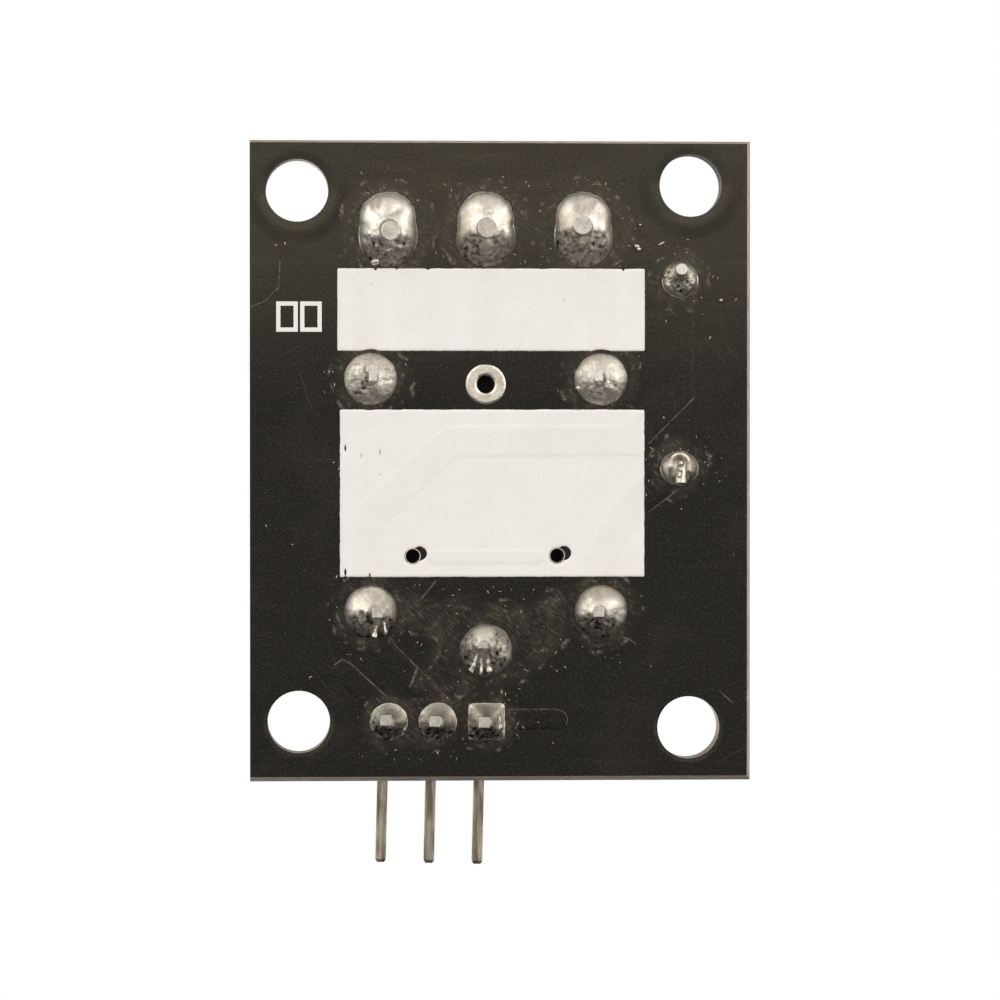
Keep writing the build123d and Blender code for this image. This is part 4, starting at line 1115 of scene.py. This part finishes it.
def top_print():
    """Plain outlines printed round the relay, the terminal, the header, the diode and the chips."""
    x0, y0, x1, y1 = node_box("diode_body")[:4]
    x0, y0, x1, y1 = x0 - 0.1, y0 - 0.3, x1 + 0.1, y1 + 0.3
    boxes = [*top_boxes, (x0, y0, x1, y1)] + [grown(node_box(chip), 0.45) for chip in chip_ends]
    bar = (x0, y1 - 0.95, x1, y1 - 0.55)
    cleared = [((x, y), outer + 0.12) for x, y, inner, outer in lead_rings] + [(hole, 1.9) for hole in mounting_holes]

    def inside(x, y):
        drawn = max([print_line / 2 - abs(inside_box(x, y, box)) for box in boxes] + [inside_box(x, y, bar)])
        depth = min([drawn, inside_box(x, y, board_sides) - 0.3] +
                    [-inside_circle(x, y, middle, radius) for middle, radius in cleared])
        return depth + 0.4 * ragged(x, y)

    points, faces = film(inside, lambda x, y: 0.02 + 0.003 * mottle(x, y, 0.4), board_sides, step=0.07)
    show("top_outlines", on_top(points), faces, "print_ink")


def cathode_band():
    """The pale ring painted round one end of the diode."""
    x0, y0, x1, y1, z0, z1 = node_box("diode_body")
    radius, across, height = (x1 - x0) / 2, (x0 + x1) / 2, (z0 + z1) / 2
    spokes, thick = 96, 0.012
    profile = ((1.25, 0.0), (1.23, thick), (0.57, thick), (0.55, 0.0), (0.9, -0.1))
    count = len(profile)
    points, faces = [], []
    for spoke in range(spokes):
        angle = 2 * math.pi * spoke / spokes
        this, following = spoke * count, (spoke + 1) % spokes * count
        for k, (back, lift) in enumerate(profile):
            out = radius + lift
            points.append((across + out * math.cos(angle), y1 - back, height + out * math.sin(angle)))
            faces.append((this + k, this + (k + 1) % count, following + (k + 1) % count, following + k))
    show("cathode_band", points, faces, "black_plastic", banded, sharp=40)


# Camera, light and floor

def place_camera():
    """Under the soldered side and a little to one side of its middle, looking straight up."""
    data = bpy.data.cameras.new("camera")
    data.lens, data.sensor_width = 145.5, 36.0
    data.clip_start, data.clip_end = 0.01, 10.0
    camera = new_object("camera", data)
    foot, aim = Vector((10.15, 0.34, -210.0)) * MM, Vector((-0.300, -2.270, 0.0)) * MM
    back = (foot - aim).normalized()
    right = Vector((0, 1, 0)).cross(back).normalized()
    camera.matrix_world = Matrix.Translation(foot) @ Matrix((right, back.cross(right), back)).transposed().to_4x4()
    bpy.context.scene.camera = camera


def lamp(name, place_mm, size_mm, power):
    """A round lamp that shines at the board's middle."""
    data = bpy.data.lights.new(name, "AREA")
    data.shape, data.size, data.energy, data.color = "DISK", size_mm * MM, power, (1.0, 0.985, 0.96)
    piece = new_object(name, data)
    piece.location = Vector(place_mm) * MM
    piece.rotation_mode = "QUATERNION"
    piece.rotation_quaternion = (-Vector(place_mm)).to_track_quat("-Z", "Y")


def surroundings():
    """White to the camera and through clear plastic, and four soft lobes of light to everything else."""
    world = bpy.data.worlds.new("surroundings")
    bpy.context.scene.world = world
    world.use_nodes = True
    w = Wiring(world.node_tree)
    w.tree.nodes.clear()
    ray = w.add("ShaderNodeLightPath").outputs
    direction = w.add("ShaderNodeTexCoord").outputs["Generated"]
    level = w.math("MAXIMUM", ray["Is Camera Ray"], ray["Is Transmission Ray"])
    for toward, low, high, top in (((0.0, 0.99, -0.13), -0.30, 0.16, 0.74), ((0.15, 0.1, 0.98), 0.12, 0.8, 0.85),
                                   ((0.0, -0.99, -0.12), 0.90, 0.985, 0.4), ((-0.97, 0.08, 0.22), 0.86, 0.97, 0.85)):
        level = w.math("MAXIMUM", level, w.spread(w.dot(direction, toward), low, high, 0.05, top))
    sky = w.add("ShaderNodeBackground", Color=(1, 1, 1, 1), Strength=level)
    w.feed(w.add("ShaderNodeOutputWorld").inputs["Surface"], sky.outputs[0])


def lay_floor():
    """A pale floor under the tails that shows only from above."""
    reach, height = 1200, -(tail_end + 0.02)
    corners = [(-reach, -reach, height), (reach, -reach, height), (reach, reach, height), (-reach, reach, height)]
    f = Finish("pale_floor", Roughness=0.9)
    f.tone = f.blend(f.patches(3.0, 0.3, 0.7), (244, 243, 241), (250, 249, 247))
    clear = f.add("ShaderNodeBsdfTransparent").outputs[0]
    mix = f.add("ShaderNodeMixShader")
    below = f.add("ShaderNodeNewGeometry").outputs["Backfacing"]
    for socket, value in zip(mix.inputs, (below, f.shader.outputs[0], clear)):
        f.feed(socket, value)
    f.feed(f.output.inputs["Surface"], mix.outputs[0])
    mesh = new_mesh("floor", corners, [(0, 1, 2, 3)])
    mesh.materials.append(f.dress())
    floor = new_object("floor", mesh)
    floor.visible_diffuse = floor.visible_glossy = floor.visible_transmission = floor.visible_shadow = False


joints()
ink_block("ink_upper", upper_ink, "ink_block_upper")
ink_block("ink_lower", lower_ink, "ink_block_lower")
tracks()
coats()
show("solder_beads", *joined(bead(*row) for row in beads), "solder")
flux()
show("scratch_and_glint_lines", *joined(raised_line(*row) for row in scratch_and_glint_lines), "solder_mask", scuff_and_glint)
dirt()
top_pads()
top_print()
cathode_band()
place_camera()
lamp("left_below", (175, 95, -185), size_mm=340, power=0.32)
lamp("right_below", (-185, 70, -175), size_mm=320, power=0.30)
lamp("key_above", (140, -190, 240), size_mm=160, power=0.8)
lamp("fill_above", (-220, 60, 200), size_mm=200, power=0.4)
surroundings()
lay_floor()

bpy.context.scene.view_settings.view_transform = "Standard"
